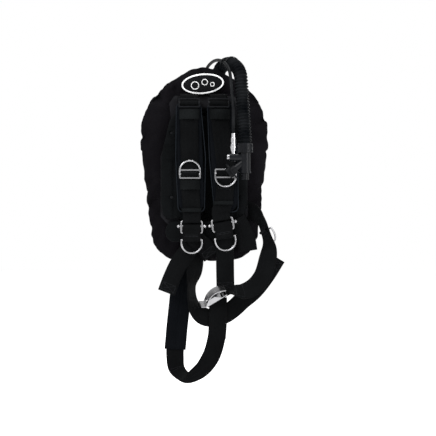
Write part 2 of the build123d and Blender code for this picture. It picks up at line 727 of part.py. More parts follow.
# -------------------------------------------------------------------------------------------- inflator
barrel_z, barrel_tip = 11.0, 70.0
nipple_x = 81.0
button_bore, deflate_bore = 8.0, 10.0
running = 0.06
mouth_along = Vector(-0.8, 0, -0.6)
mouth = Plane(origin=(105, inflator_y, -5), x_dir=(-0.6, 0, 0.8), z_dir=mouth_along)
body_base, spigot_z = -32.0, 23.5


def upright(z):
    """A level plane on the inflator's own axis."""
    return Plane(origin=(inflator_x, inflator_y, z))


barrel = Plane(origin=(barrel_tip, inflator_y, barrel_z), x_dir=(0, 0, 1), z_dir=(1, 0, 0))
with BuildPart() as inflator_body:
    steps = ((body_base, spigot_z, 14), (spigot_z, 50, hose_bore - 0.3), (body_base, body_base + 6, 15.5))
    for foot, top, radius in steps:
        with BuildSketch(upright(foot)):
            Circle(radius)
        extrude(amount=top - foot)
    with BuildSketch(barrel):
        Circle(11)
    extrude(amount=inflator_x - barrel_tip)
    with BuildSketch(mouth.offset(-4)):
        Circle(10.5)
    extrude(amount=40)
    with BuildSketch(upright(24)):
        Circle(10)
    extrude(amount=40, mode=Mode.SUBTRACT)
    with BuildSketch(barrel):
        Circle(button_bore + running)
    extrude(amount=9, mode=Mode.SUBTRACT)
    with BuildSketch(upright(body_base)):
        Circle(deflate_bore + running)
    extrude(amount=14, mode=Mode.SUBTRACT)
    with BuildSketch(mouth.offset(16)):
        Circle(8)
    extrude(amount=36, mode=Mode.SUBTRACT)
finish(inflator_body, "inflator_body")

inflate_travel, deflate_travel = 3.5, 4.0
with BuildPart() as inflate_button:
    with BuildSketch(barrel.offset(-inflate_travel - 3)):
        Circle(button_bore)
    extrude(amount=inflate_travel + 3 + 4)
    fillet(inflate_button.faces().sort_by(Axis.X)[0].edges(), 1.5)
finish(inflate_button, "inflate_button")

with BuildPart() as deflate_button:
    with BuildSketch(upright(body_base - 18)):
        Circle(deflate_bore)
    extrude(amount=18 + 9)
    with BuildSketch(upright(body_base - 18)):
        with PolarLocations(deflate_bore, 8):
            Circle(1.6)
    extrude(amount=10, mode=Mode.SUBTRACT)
finish(deflate_button, "deflate_button")

with BuildPart() as mouthpiece:
    with BuildSketch(mouth.offset(22)):
        Circle(13)
    extrude(amount=16)
    with BuildSketch(mouth.offset(34)):
        SlotOverall(50, 34)
    extrude(amount=4)
    with BuildSketch(mouth.offset(38)):
        SlotOverall(30, 19)
    extrude(amount=10)
    with BuildSketch(mouth.offset(20)):
        Circle(10.7)
    extrude(amount=16.3, mode=Mode.SUBTRACT)
    with BuildSketch(mouth.offset(30)):
        SlotOverall(22, 12)
    extrude(amount=30, mode=Mode.SUBTRACT)
finish(mouthpiece, "mouthpiece")

with BuildPart() as hose_collar:
    with BuildSketch(upright(24)):
        Circle(hose_crest + 1.9)
        Circle(hose_crest + 0.3, mode=Mode.SUBTRACT)
    extrude(amount=24)
    for level in (27, 39):
        with BuildSketch(upright(level)):
            with PolarLocations(hose_crest + 2, 12):
                Rectangle(2, 4)
        extrude(amount=5)
finish(hose_collar, "hose_collar")

# ----------------------------------------------------------------------------------- low pressure hose
lp_radius, lp_inner = 4.6, 3.0
coupling_foot, coupling_top = 26.0, 76.0
sleeve_travel = 4.0
fitting_x, fitting_y, fitting_z = 4.0, 96.0, 232.0
lp_wire = hose_path((fitting_x, fitting_y, 256), (nipple_x, inflator_y, 76.4), 220, 45, 120)


def over_nipple(z):
    """A level plane on the coupling's axis."""
    return Plane(origin=(nipple_x, inflator_y, z))


with BuildPart() as lp_nipple:
    for base, radius, length in ((20.6, 5.5, 5), (20.6, 4.0, 15), (31.5, 4.6, 2)):
        with BuildSketch(over_nipple(base)):
            Circle(radius)
        extrude(amount=length)
    with BuildSketch(Plane(origin=(0, inflator_y, barrel_z), x_dir=(0, 1, 0), z_dir=(1, 0, 0))):
        Circle(11)
    extrude(amount=200, mode=Mode.SUBTRACT)
finish(lp_nipple, "lp_nipple")

with BuildPart() as lp_coupling:
    for base, radius, length in ((coupling_foot, 6.4, 40), (52, 7.4, 12), (64, 5.8, 12)):
        with BuildSketch(over_nipple(base)):
            Circle(radius)
        extrude(amount=length)
    with BuildSketch(over_nipple(coupling_foot)):
        Circle(4.9)
    extrude(amount=12, mode=Mode.SUBTRACT)
    with BuildSketch(over_nipple(coupling_foot)):
        Circle(lp_inner)
    extrude(amount=60, mode=Mode.SUBTRACT)
finish(lp_coupling, "lp_coupling")

with BuildPart() as coupling_sleeve:
    for base, radius, length in ((29, 8.0, 18), (36, 9.4, 5)):
        with BuildSketch(over_nipple(base)):
            Circle(radius)
        extrude(amount=length)
    with BuildSketch(over_nipple(20)):
        Circle(6.4 + running)
    extrude(amount=40, mode=Mode.SUBTRACT)
finish(coupling_sleeve, "coupling_sleeve")

finish(hose_solid(lp_wire, lp_radius, 0, 0), "lp_hose")

thread_radius = 4.76        # 3/8 inch UNF, as a cylinder stage's low pressure port
with BuildPart() as lp_hose_fitting:
    for base, radius, length in ((fitting_z + 10, 5.8, 13.4), (fitting_z, thread_radius, 10)):
        with BuildSketch(Plane.XY.offset(base)):
            with Locations((fitting_x, fitting_y)):
                Circle(radius)
        extrude(amount=length)
    with BuildSketch(Plane.XY.offset(fitting_z + 10)):
        with Locations((fitting_x, fitting_y)):
            RegularPolygon(8, 6)
    extrude(amount=6)
    with BuildSketch(Plane.XY.offset(fitting_z)):
        with Locations((fitting_x, fitting_y)):
            Circle(2)
    extrude(amount=40, mode=Mode.SUBTRACT)
finish(lp_hose_fitting, "lp_hose_fitting")

# The tie that holds both hoses together over the shoulder
tie_at = 0.3
tie_middle = hose_wire @ tie_at
tie_along = hose_wire % tie_at
steps = [lp_wire @ (k / 200) for k in range(201)]
lp_near = min(steps, key=lambda point: abs((point - tie_middle).dot(tie_along)))
tie = Plane(origin=tie_middle, x_dir=lp_near - tie_middle, z_dir=tie_along)
lp_offset = (lp_near - tie_middle).length
with BuildPart() as hose_tie:
    with BuildSketch(tie.offset(-5)):
        Circle(hose_crest + 1.8)
        with Locations((lp_offset, 0)):
            Circle(lp_radius + 2.6)
        Circle(hose_crest + 0.4, mode=Mode.SUBTRACT)
        with Locations((lp_offset, 0)):
            Circle(lp_radius + 1.1, mode=Mode.SUBTRACT)
    extrude(amount=10)
finish(hose_tie, "hose_tie")

# ------------------------------------------------------------------------------------------ dump valve
dump_travel = 5.0


def dump_plane(y):
    """A sketch plane across the dump valve's axis at depth y."""
    return Plane(origin=(dump_x, y, dump_z), x_dir=(1, 0, 0), z_dir=(0, 1, 0))


# (depth, radius, length) of each turned step
dump_parts = {
    "dump_housing": ([(30, port_radius, 14), (wing_rear + 0.3, 22, 4)], [(30, 9, 20)]),
    "dump_poppet": ([(45.0, 12.5, 2), (47.0, 3, 3), (34, 1.4, 12)], []),
    "dump_cap": ([(wing_rear + 4.6, 20, 15)], [(wing_rear + 4.6, 14, 12.5), (52, 2.2, 20)]),
    "dump_cord": ([(50.3, 1.2, 25.4)], []),
    "dump_knob": ([(68, 7, 14)], [(66, 1.3, 10)]),
}
for dump_name, (adds, cuts) in dump_parts.items():
    with BuildPart() as piece:
        for depth, radius, length in adds:
            with BuildSketch(dump_plane(depth)):
                Circle(radius)
            extrude(amount=length)
        for depth, radius, length in cuts:
            with BuildSketch(dump_plane(depth)):
                Circle(radius)
            extrude(amount=length, mode=Mode.SUBTRACT)
    finish(piece, dump_name)

# ---------------------------------------------------------------------------------------- waist buckle
buckle_pin = (-6.0, 8.5)    # along the strap and outwards
buckle_pin_radius = 2.5
buckle_inner_half = 28.5
# Seen along its pin: x along the strap, y outwards.
buckle_side = Plane(origin=waist_buckle.origin, x_dir=waist_buckle.x_dir, z_dir=-waist_buckle.y_dir)
with BuildPart() as waist_buckle_frame:
    with BuildSketch(buckle_side.offset(-buckle_inner_half - 1.8)):
        with BuildLine():
            Polyline((-40, 6), (-38.6, 7), (-28, 0), (38, 0), (38, -1.8), (-28.5, -1.8), close=True)
        make_face()
    extrude(amount=2 * (buckle_inner_half + 1.8))
    for end in (-1, 1):
        with BuildSketch(buckle_side.offset(end * (buckle_inner_half + 0.9) - 0.9)):
            with BuildLine():
                Polyline((-30, -1), (24, -1), (6, 12.5), (-13, 12.5), close=True)
            make_face()
            fillet(vertices().group_by(Axis.Y)[-1], 4)
        extrude(amount=1.8)
    with BuildSketch(buckle_side):
        with Locations(buckle_pin):
            Circle(buckle_pin_radius)
    extrude(amount=buckle_inner_half, both=True)
    with BuildSketch(waist_buckle.offset(1)):
        with Locations((-20, 0), (24, 0), (34, 0)):
            Rectangle(5, webbing + 1)
    extrude(amount=-4, mode=Mode.SUBTRACT)
finish(waist_buckle_frame, "waist_buckle_frame")

with BuildPart() as waist_buckle_lever:
    with BuildSketch(buckle_side.offset(-buckle_inner_half + 0.7)):
        with Locations(buckle_pin):
            Circle(5.6)
        with BuildLine():
            ThreePointArc((-8, 13), (16, 17), (40, 9))
            Line((40, 9), (42, 10.4))
            ThreePointArc((42, 10.4), (16, 19), (-8, 15))
            Line((-8, 15), (-8, 13))
        make_face()
        with Locations((-7, 12)):
            Rectangle(7, 5)
        with Locations(buckle_pin):
            Circle(buckle_pin_radius + 0.05, mode=Mode.SUBTRACT)
    extrude(amount=2 * buckle_inner_half - 1.4)
finish(waist_buckle_lever, "waist_buckle_lever")
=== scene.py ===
import math

import bmesh
import bpy
import numpy as np
from mathutils import Matrix, Vector, noise


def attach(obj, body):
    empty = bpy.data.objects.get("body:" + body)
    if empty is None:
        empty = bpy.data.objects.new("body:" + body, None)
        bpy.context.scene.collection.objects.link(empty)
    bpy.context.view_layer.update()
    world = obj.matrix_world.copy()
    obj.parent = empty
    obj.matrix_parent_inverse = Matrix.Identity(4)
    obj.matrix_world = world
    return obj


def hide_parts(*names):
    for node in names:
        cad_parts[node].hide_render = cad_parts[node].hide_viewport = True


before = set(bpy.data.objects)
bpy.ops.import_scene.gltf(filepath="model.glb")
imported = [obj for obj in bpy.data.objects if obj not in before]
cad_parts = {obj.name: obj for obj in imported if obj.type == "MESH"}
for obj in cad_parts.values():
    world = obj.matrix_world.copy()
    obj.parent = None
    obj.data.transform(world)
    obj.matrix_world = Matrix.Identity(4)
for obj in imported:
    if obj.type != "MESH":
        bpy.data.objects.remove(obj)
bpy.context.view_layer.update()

# Lengths are millimetres in this script's own shapes, and metres in Blender.
MM = 0.001
FULL_TURN = 2 * math.pi
HARNESS = "harness_and_wing"
HOSES = "hose_group"
WEBBING = 50.0          # width of the harness webbing
THICK = 2.4             # its thickness
STRAP_Y = -65.0         # depth of the shoulder straps' middle where they lie on the pads
BUCKLE_BAR_RADIUS = 2.5


# ------------ materials
def make_node(tree, kind, inputs=None, **settings):
    """One shader node, with its sockets linked or set."""
    made = tree.nodes.new(kind)
    for key, value in settings.items():
        setattr(made, key, value)
    for key, value in (inputs or {}).items():
        if isinstance(value, bpy.types.NodeSocket):
            tree.links.new(value, made.inputs[key])
        else:
            made.inputs[key].default_value = value
    return made


def math_node(tree, operation, first, second=0.0, third=0.0):
    return make_node(tree, "ShaderNodeMath", {0: first, 1: second, 2: third}, operation=operation).outputs[0]


def scaled(tree, value, gain, offset):
    """value * gain + offset"""
    return math_node(tree, "MULTIPLY_ADD", value, gain, offset)


def wave(tree, position, pitch):
    """A sine that repeats every pitch metres."""
    return math_node(tree, "SINE", math_node(tree, "MULTIPLY", position, FULL_TURN / pitch))


def object_place(tree):
    return make_node(tree, "ShaderNodeTexCoord").outputs["Object"]


def start_material(name, roughness, metallic=0.0, sheen=0.0, specular=0.5):
    """A new material, its node tree and its surface node."""
    made = bpy.data.materials.new(name)
    made.use_nodes = True
    tree = made.node_tree
    surface = tree.nodes["Principled BSDF"]
    surface.inputs["Roughness"].default_value = roughness
    surface.inputs["Metallic"].default_value = metallic
    surface.inputs["Specular IOR Level"].default_value = specular
    if sheen:
        surface.inputs["Sheen Weight"].default_value = sheen
        surface.inputs["Sheen Roughness"].default_value = 0.45
    return made, tree, surface


def mix_colour(tree, share, dark, light):
    """A colour that runs from dark to light as share runs from 0 to 1."""
    ramp = make_node(tree, "ShaderNodeMix", {0: share}, data_type="RGBA")
    for socket, value in ((6, dark), (7, light)):
        if isinstance(value, bpy.types.NodeSocket):
            tree.links.new(value, ramp.inputs[socket])
        else:
            ramp.inputs[socket].default_value = (*value, 1)
    return ramp.outputs[2]


def noise_share(tree, coordinates, scale, low=0.35, high=0.65):
    """Noise stretched to run from 0 to 1."""
    cloud = make_node(tree, "ShaderNodeTexNoise", {"Vector": coordinates, "Scale": scale, "Detail": 4.0})
    spread = make_node(tree, "ShaderNodeMapRange", {0: cloud.outputs[0], 1: low, 2: high})
    return spread.outputs[0]


def bump(tree, surface, height, strength, distance):
    made = make_node(tree, "ShaderNodeBump", {"Height": height, "Strength": strength, "Distance": distance})
    tree.links.new(made.outputs[0], surface.inputs["Normal"])


def woven(tree, coordinates, pitch):
    """Height of a plain weave of the given pitch, on object coordinates."""
    axes = make_node(tree, "ShaderNodeSeparateXYZ", {0: coordinates})
    across = math_node(tree, "ADD", axes.outputs[0], math_node(tree, "MULTIPLY", axes.outputs[1], 0.5))
    along = math_node(tree, "ADD", axes.outputs[2], math_node(tree, "MULTIPLY", axes.outputs[1], 0.5))
    return math_node(tree, "MULTIPLY", wave(tree, across, pitch), wave(tree, along, pitch))


def cloth_material(name, dark, light, pitch, strength=0.35):
    """Woven fabric: a fine weave, and blotches of the light colour where it's been rubbed."""
    roughness = 0.85
    made, tree, surface = start_material(name, roughness, sheen=0.004, specular=0.03)
    place = object_place(tree)
    weave = woven(tree, place, pitch)
    blotches = noise_share(tree, place, 9.0)
    thread = scaled(tree, weave, 0.22, 0.3)
    share = scaled(tree, blotches, 0.4, thread)
    tree.links.new(mix_colour(tree, share, dark, light), surface.inputs["Base Color"])
    rough = scaled(tree, blotches, -0.12, roughness)
    tree.links.new(rough, surface.inputs["Roughness"])
    bump(tree, surface, weave, strength, 0.0003)
    return made


def webbing_material(name, dark, light, rib=0.0021, chevron=0.0125):
    """Nylon webbing in a herringbone weave. Its UV map holds metres: U across, V along."""
    warp = 0.0011
    made, tree, surface = start_material(name, 0.7, sheen=0.003, specular=0.035)
    coordinates = make_node(tree, "ShaderNodeTexCoord")
    axes = make_node(tree, "ShaderNodeSeparateXYZ", {0: coordinates.outputs["UV"]})
    zigzag = math_node(tree, "PINGPONG", axes.outputs[0], chevron / 2)
    slanted = math_node(tree, "ADD", axes.outputs[1], zigzag)
    ribs = wave(tree, slanted, rib)
    threads = wave(tree, axes.outputs[0], warp)
    height = scaled(tree, threads, 0.3, ribs)
    rubbed = noise_share(tree, coordinates.outputs["Object"], 14.0)
    share = scaled(tree, ribs, 0.2, scaled(tree, rubbed, 0.45, 0.2))
    tree.links.new(mix_colour(tree, share, dark, light), surface.inputs["Base Color"])
    bump(tree, surface, height, 0.5, 0.0004)
    return made


def rubber_material(name, colour, roughness, specular=0.08):
    """Rubber or thread: fine grain, and a little dust."""
    grain = 500.0
    made, tree, surface = start_material(name, roughness, specular=specular)
    place = object_place(tree)
    dust = noise_share(tree, place, 22.0)
    lighter = tuple(min(1, c * 1.7 + 0.006) for c in colour)
    tree.links.new(mix_colour(tree, dust, colour, lighter), surface.inputs["Base Color"])
    rough = scaled(tree, dust, 0.14, roughness - 0.07)
    tree.links.new(rough, surface.inputs["Roughness"])
    bump(tree, surface, noise_share(tree, place, grain), 0.12, 0.0002)
    return made


def hard_material(name, colour, roughness, metallic, scratch=0.05, specular=0.5):
    """Metal or moulded plastic: softened edges, faint scratches and finger marks."""
    edge = 0.0004
    darker, lighter = 0.82, 1.5
    made, tree, surface = start_material(name, roughness, metallic=metallic, specular=specular)
    place = object_place(tree)
    stretched = make_node(tree, "ShaderNodeMapping", {"Vector": place, "Scale": (1, 1, 18)}).outputs[0]
    marks = noise_share(tree, place, 35.0)
    lines = noise_share(tree, stretched, 160.0, 0.45, 0.62)
    worn = tuple(min(1, c * (darker if metallic else lighter)) for c in colour)
    tree.links.new(mix_colour(tree, marks, colour, worn), surface.inputs["Base Color"])
    rough = scaled(tree, marks, 0.1, roughness - 0.03)
    tree.links.new(scaled(tree, lines, scratch, rough), surface.inputs["Roughness"])
    rounded = make_node(tree, "ShaderNodeBevel", {"Radius": edge}, samples=4)
    fine = make_node(
        tree, "ShaderNodeBump",
        {"Height": lines, "Strength": 0.06, "Distance": 0.0001, "Normal": rounded.outputs[0]},
    )
    tree.links.new(fine.outputs[0], surface.inputs["Normal"])
    return made


nylon = cloth_material("cover_nylon_look", (0.0012, 0.0010, 0.0014), (0.0048, 0.0043, 0.0056), 0.0014)
nylon_band = cloth_material("cover_tape_look", (0.0014, 0.0014, 0.0018), (0.006, 0.006, 0.0072), 0.0009)
mesh_pad = cloth_material("pad_mesh_look", (0.0009, 0.0011, 0.0012), (0.0042, 0.0048, 0.0054), 0.0026,
                          strength=0.8)
neoprene = cloth_material("neoprene_look", (0.0009, 0.0012, 0.0018), (0.0030, 0.0037, 0.0050), 0.0008)
binding = cloth_material("binding_look", (0.0042, 0.0054, 0.0072), (0.0120, 0.0145, 0.0180), 0.0010)
webbing = webbing_material("webbing_look", (0.0006, 0.0007, 0.0009), (0.0034, 0.0038, 0.0042))
elastic = webbing_material("elastic_look", (0.0007, 0.0009, 0.0010), (0.0070, 0.0082, 0.0088),
                           rib=0.0030, chevron=0.4)
thread_dark = rubber_material("thread_dark_look", (0.012, 0.0125, 0.015), 0.6)
thread_white = rubber_material("thread_white_look", (0.78, 0.79, 0.80), 0.55)
patch_cloth = cloth_material("patch_look", (0.0015, 0.0015, 0.002), (0.009, 0.009, 0.0105), 0.0011)
hose_rubber = rubber_material("hose_rubber_look", (0.0009, 0.0013, 0.0019), 0.46, specular=0.012)
soft_rubber = rubber_material("soft_rubber_look", (0.0018, 0.0021, 0.0027), 0.42, specular=0.05)
plastic = hard_material("plastic_look", (0.0030, 0.0034, 0.0044), 0.28, 0.0, specular=0.14)
steel = hard_material("steel_look", (0.34, 0.34, 0.35), 0.2, 1.0, scratch=0.12)
chrome = hard_material("chrome_look", (0.78, 0.78, 0.8), 0.1, 1.0)
anodised = hard_material("anodised_look", (0.012, 0.012, 0.014), 0.45, 0.3, specular=0.1)


def linked(name, data):
    """A new object in the scene."""
    made = bpy.data.objects.new(name, data)
    bpy.context.scene.collection.objects.link(made)
    return made


def wear(obj, material):
    """Gives a piece its material."""
    obj.data.materials.clear()
    obj.data.materials.append(material)


# ------------ meshes
def add_piece(name, mesh, material, node=None, body=HARNESS, smooth=True):
    """A piece of the object that rides on a body, in place of a CAD node if one is given."""
    made = linked(name, mesh)
    if smooth:
        mesh.shade_smooth()
    wear(made, material)
    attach(made, body)
    if node:
        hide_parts(node)


def noise_at(x, y, z):
    return noise.noise(Vector((x, y, z)))


def circle(count):
    """Angles evenly round a circle."""
    return np.linspace(0, FULL_TURN, count, endpoint=False)


def lengths_along(points):
    """How far along a line each of its points is."""
    return np.concatenate([[0.0], np.cumsum(np.linalg.norm(np.diff(points, axis=0), axis=1))])


def at_distance(here, distance, rows):
    """Rows of three numbers, read off between the distances they're given at."""
    return np.array([np.interp(here, distance, rows[:, axis]) for axis in range(3)])


def bridge(shape, here, there):
    """Quads between two closed rings of vertices."""
    for m in range(len(here)):
        n = (m + 1) % len(here)
        shape.faces.new((here[m], here[n], there[n], there[m]))


def made_mesh(shape, name):
    """Turns a finished bmesh into a mesh whose faces all look outwards."""
    bmesh.ops.recalc_face_normals(shape, faces=shape.faces)
    mesh = bpy.data.meshes.new(name)
    shape.to_mesh(mesh)
    shape.free()
    return mesh


def smooth_curve(controls, steps):
    """Points of a smooth curve through the controls, whose slopes weigh each span by its length."""
    rows = np.array(controls, float)
    spans = np.linalg.norm(np.diff(rows[:, :3], axis=0), axis=1)
    chords = np.diff(rows, axis=0) / spans[:, None]
    weights = spans[1:] / (spans[1:] + spans[:-1])
    middle = chords[:-1] * weights[:, None] + chords[1:] * (1 - weights[:, None])
    slopes = np.vstack([chords[:1], middle, chords[-1:]])
    points = []
    for k, span in enumerate(spans):
        for t in np.arange(steps) / steps:
            points.append(
                (2 * t**3 - 3 * t**2 + 1) * rows[k] + (3 * t**2 - 2 * t**3) * rows[k + 1]
                + span * ((t**3 - 2 * t**2 + t) * slopes[k] + (t**3 - t**2) * slopes[k + 1])
            )
    return np.array(points + [rows[-1]])


class Ribbon:
    """A strap's middle line with the directions across it and out of it, all in millimetres."""

    def __init__(self, controls, steps=6, closed=False):
        rows = smooth_curve(controls, steps)
        self.closed = closed
        if closed:
            rows = rows[:-1]
        self.middle = rows[:, :3]
        if closed:
            ahead = np.roll(self.middle, -1, axis=0) - np.roll(self.middle, 1, axis=0)
        else:
            ahead = np.gradient(self.middle, axis=0)
        along = ahead / np.linalg.norm(ahead, axis=1)[:, None]
        across = rows[:, 3:] - along * np.sum(rows[:, 3:] * along, axis=1)[:, None]
        self.across = across / np.linalg.norm(across, axis=1)[:, None]
        self.out = np.cross(along, self.across)
        self.distance = lengths_along(self.middle)

    @property
    def length(self):
        return self.distance[-1]

    def at(self, distance, across, out):
        """A point beside the strap, and the direction out of it there."""
        middle, side, normal = (
            at_distance(distance, self.distance, rows) for rows in (self.middle, self.across, self.out)
        )
        return middle + side * across + normal * out, normal


def ribbon_mesh(name, ribbon, width, thick):
    """A strap with soft edges. Its UV map is in metres, U across and V along."""
    ripple, edge = 0.25, 0.5
    half = width / 2
    top = [(u, thick / 2) for u in np.linspace(-half + edge, half - edge, 9)]
    section = top + [(half, 0.0)] + [(u, -v) for u, v in reversed(top)] + [(-half, 0.0)]
    count = len(section)
    shape = bmesh.new()
    uv_layer = shape.loops.layers.uv.new("UVMap")
    rings = []
    for k in range(len(ribbon.middle)):
        ring = []
        for u, v in section:
            lift = ripple * noise_at(ribbon.distance[k] * 0.03, u * 0.03, len(name))
            place = ribbon.middle[k] + ribbon.across[k] * u + ribbon.out[k] * (v + lift)
            ring.append(shape.verts.new(Vector(place) * MM))
        rings.append(ring)
    last = len(rings) if ribbon.closed else len(rings) - 1
    for k in range(last):
        here, there = rings[k], rings[(k + 1) % len(rings)]
        near = ribbon.distance[k]
        far = near + np.linalg.norm(ribbon.middle[(k + 1) % len(rings)] - ribbon.middle[k])
        for m in range(count):
            n = (m + 1) % count
            face = shape.faces.new((here[m], here[n], there[n], there[m]))
            corners = ((m, near), (n, near), (n, far), (m, far))
            for loop, (index, distance) in zip(face.loops, corners):
                loop[uv_layer].uv = (section[index][0] * MM, distance * MM)
    if not ribbon.closed:
        shape.faces.new(reversed(rings[0]))
        shape.faces.new(rings[-1])
    return made_mesh(shape, name)


def thread_run(shape, points, normals):
    """Adds stitches along a line to a bmesh: short threads, thickest in the middle."""
    length, space, radius = 2.4, 1.3, 0.38
    round_thread = (0, math.pi / 3, 2 * math.pi / 3, math.pi, 4.2, 5.2)
    slim = 0.35
    points = np.array(points, float)
    distance = lengths_along(points)
    normals = np.array(normals, float)
    start = space
    while start + length < distance[-1]:
        ring_before = None
        for share, swell in ((0.0, slim), (0.3, 1.0), (0.7, 1.0), (1.0, slim)):
            here = start + share * length
            place = at_distance(here, distance, points)
            normal = at_distance(here, distance, normals)
            ahead = at_distance(here + 0.5, distance, points) - place
            side = np.cross(normal, ahead)
            side = side / max(np.linalg.norm(side), 1e-9)
            lift = 0.25 * radius * (swell - slim)
            ring = [
                shape.verts.new(
                    Vector(place + (side * math.cos(a) + normal * math.sin(a)) * radius * swell
                           + normal * lift) * MM
                )
                for a in round_thread
            ]
            if ring_before:
                bridge(shape, ring_before, ring)
            ring_before = ring
        start += length + space


def sew(name, ribbon, lines, both_sides=False):
    """Stitching on a strap. Each line is a list of (distance along, across) corners."""
    lift = THICK / 2 + 0.12
    shape = bmesh.new()
    for side in ((1, -1) if both_sides else (1,)):
        for line in lines:
            corners = []
            for (d0, u0), (d1, u1) in zip(line, line[1:]):
                pieces = max(2, int(abs(d1 - d0) + abs(u1 - u0)) // 3)
                for t in np.arange(pieces) / pieces:
                    corners.append((d0 + (d1 - d0) * t, u0 + (u1 - u0) * t))
            corners.append(line[-1])
            placed = [ribbon.at(d, u, side * lift) for d, u in corners]
            thread_run(shape, [point for point, _ in placed], [normal * side for _, normal in placed])
    add_piece(name, made_mesh(shape, name), thread_dark)


def box_stitch(start, end, cross=True):
    """Lines of a sewn box, with its cross, between two distances along a strap."""
    half = 19.0
    lines = [[(start, -half), (end, -half), (end, half), (start, half), (start, -half)]]
    if cross:
        lines += [[(start, -half), (end, half)], [(end, -half), (start, half)]]
    return lines


def across_stitch(*distances):
    """Lines straight across a strap, at distances along it."""
    return [[(distance, -20), (distance, 20)] for distance in distances]


def strap(name, controls, node=None, width=WEBBING, thick=THICK, steps=6, closed=False, material=webbing):
    """A strap through controls, each a point of its middle line and the direction across it there."""
    ribbon = Ribbon(controls, steps, closed)
    add_piece(name, ribbon_mesh(name, ribbon, width, thick), material, node)
    return ribbon


# ------------ straps
def flat(x, y, z):
    """A control of a strap that lies across X there."""
    return (x, y, z, 1, 0, 0)


WRAP = BUCKLE_BAR_RADIUS + 0.5 + THICK / 2      # from a bar's middle to a strap's, where it turns round it
RING_BAR_Y = -71.8


def over_bar(x, z):
    """A shoulder strap coming forward through a slide, over its bar, and back."""
    half = [(13.0, STRAP_Y), (7.6, STRAP_Y - 0.2), (5.0, STRAP_Y - 4.0), (3.9, STRAP_Y - 8.6)]
    above = [flat(x, y, z + dz) for dz, y in half]
    below = [flat(x, y, z - dz) for dz, y in half]
    return [*above, flat(x, RING_BAR_Y - WRAP - 0.3, z), *reversed(below)]


class Adjuster:
    """Where a shoulder adjuster sits. v runs up it, square to its bars, whose depth is y."""

    y = -69.0

    def __init__(self, x, z, lean):
        self.x, self.z, self.lean = x, z, math.radians(lean)

    def control(self, v, y):
        """A control of a strap that lies along the bars there."""
        return (self.x - v * math.sin(self.lean), y, self.z + v * math.cos(self.lean),
                math.cos(self.lean), 0, math.sin(self.lean))

    def turn(self, bar, side, sign):
        """Controls of a strap half way round the bar at v = bar."""
        steps = [(1.0, 0.0), (0.71, 0.71), (0.0, 1.0), (-0.71, 0.71), (-1.0, 0.0)]
        return [self.control(bar + sign * WRAP * rise, self.y - side * WRAP * out) for out, rise in steps]


right_adjuster = Adjuster(-34.0, -179.0, 0.0)
left_adjuster = Adjuster(52.0, -172.0, 10.0)
right_slide, left_slide = (-39.0, -32.0), (60.0, -30.0)
LADDER_Z, LADDER_X = 166.0, 41.0


def shoulder_controls(side, slide, adjuster, upper, lower):
    """From behind the backplate's top, over two slides, to the hem on the adjuster's upper bar."""
    x = side * LADDER_X
    top = [flat(x, 1.5, 178), flat(x, -20, 179), flat(x, -42, 187), flat(x, -58, 190), flat(x, -65, 183)]
    end = [adjuster.control(34, -67.5), adjuster.control(24, -71.8)]
    hem = [adjuster.control(22, -64.7), adjuster.control(28, -64.6)]
    return [*top, *over_bar(x, LADDER_Z), *upper, *over_bar(*slide), *lower, *end,
            *adjuster.turn(16, 1, -1), *hem]


def side_controls(adjuster, tail):
    """From the hem under the adjuster's ring, up round the adjuster, and down its tail."""
    hem = [adjuster.control(-25, -64.8), adjuster.control(-30, -64.8)]
    front = [adjuster.control(-26, -73.4), adjuster.control(-8, -73.4)]
    return [*hem, *adjuster.turn(-36, -1, -1), *front, *adjuster.turn(2, 1, 1),
            adjuster.control(-8, -63.6), *tail]


shoulder_right = strap("webbing_shoulder_right", shoulder_controls(
    -1, right_slide, right_adjuster, [flat(-41, STRAP_Y, 120), flat(-40, STRAP_Y, 40)],
    [flat(-37, STRAP_Y, -90), flat(-34.5, STRAP_Y, -125)]), "shoulder_strap_right")
shoulder_left = strap("webbing_shoulder_left", shoulder_controls(
    1, left_slide, left_adjuster, [flat(45, STRAP_Y, 120), flat(54, STRAP_Y, 40)],
    [flat(58, STRAP_Y, -80), flat(53, STRAP_Y, -118)]), "shoulder_strap_left")
side_right = strap("webbing_side_right", side_controls(right_adjuster, [
    (-31, -61.5, -200, 0.97, 0, 0.25), (-16, -59.5, -218, 0.84, 0, 0.54), (4, -56, -236, 0.84, 0, 0.54),
    (22, -53, -262, 0.92, 0, 0.38)]), "side_strap_right")
side_left = strap("webbing_side_left", side_controls(left_adjuster, [
    flat(56, -61.0, -205), flat(58, -58, -250), flat(59, -55, -310), flat(60, -55, -358)]),
    "side_strap_left")
tail_right = strap("webbing_tail_right", [
    (-18, -52, -208, 0.95, 0, -0.3), (-45, -54, -246, 0.85, 0, -0.5), (-70, -56, -281, 0.87, 0, -0.5),
    (-88, -54, -318, 0.92, 0, -0.4), (-105, -52, -362, 0.93, 0, -0.37)], "waist_tail_right")
strap("webbing_hip_left", [
    (91, -52.5, -156, 0.9, 0, 0.42), (104, -52.5, -180, 0.9, 0, 0.42), (118, -52, -212, 0.95, 0, 0.3),
    (124, -50, -246, 1, 0, 0.1)], "hip_strap_left")
waist_right = strap("webbing_waist_right", [
    (-22, -40, -234, 0.93, 0.36, 0), (-24, -40, -262, 0.93, 0.36, 0), (-27, -40, -300, 0.88, 0.48, 0),
    (-35, -44, -342, 0.45, 0.89, 0), (-33, -44, -380, 0.5, 0.86, -0.1), (-20, -48, -412, 0.6, 0.6, 0.5),
    (4, -53, -430, 0.3, 0.1, 0.95), (34, -53.5, -431, 0, 0, 1), (60, -53.5, -422, -0.45, 0, 0.89),
    (84, -54, -405, -0.75, 0, 0.66), (104, -55, -386, -0.7, 0, 0.7), (137, -57, -358, -0.6, 0, 0.8),
    (172, -57, -314, -0.8, 0, 0.6), (203, -56, -264, -0.9, 0, 0.43),
], "waist_strap_right")
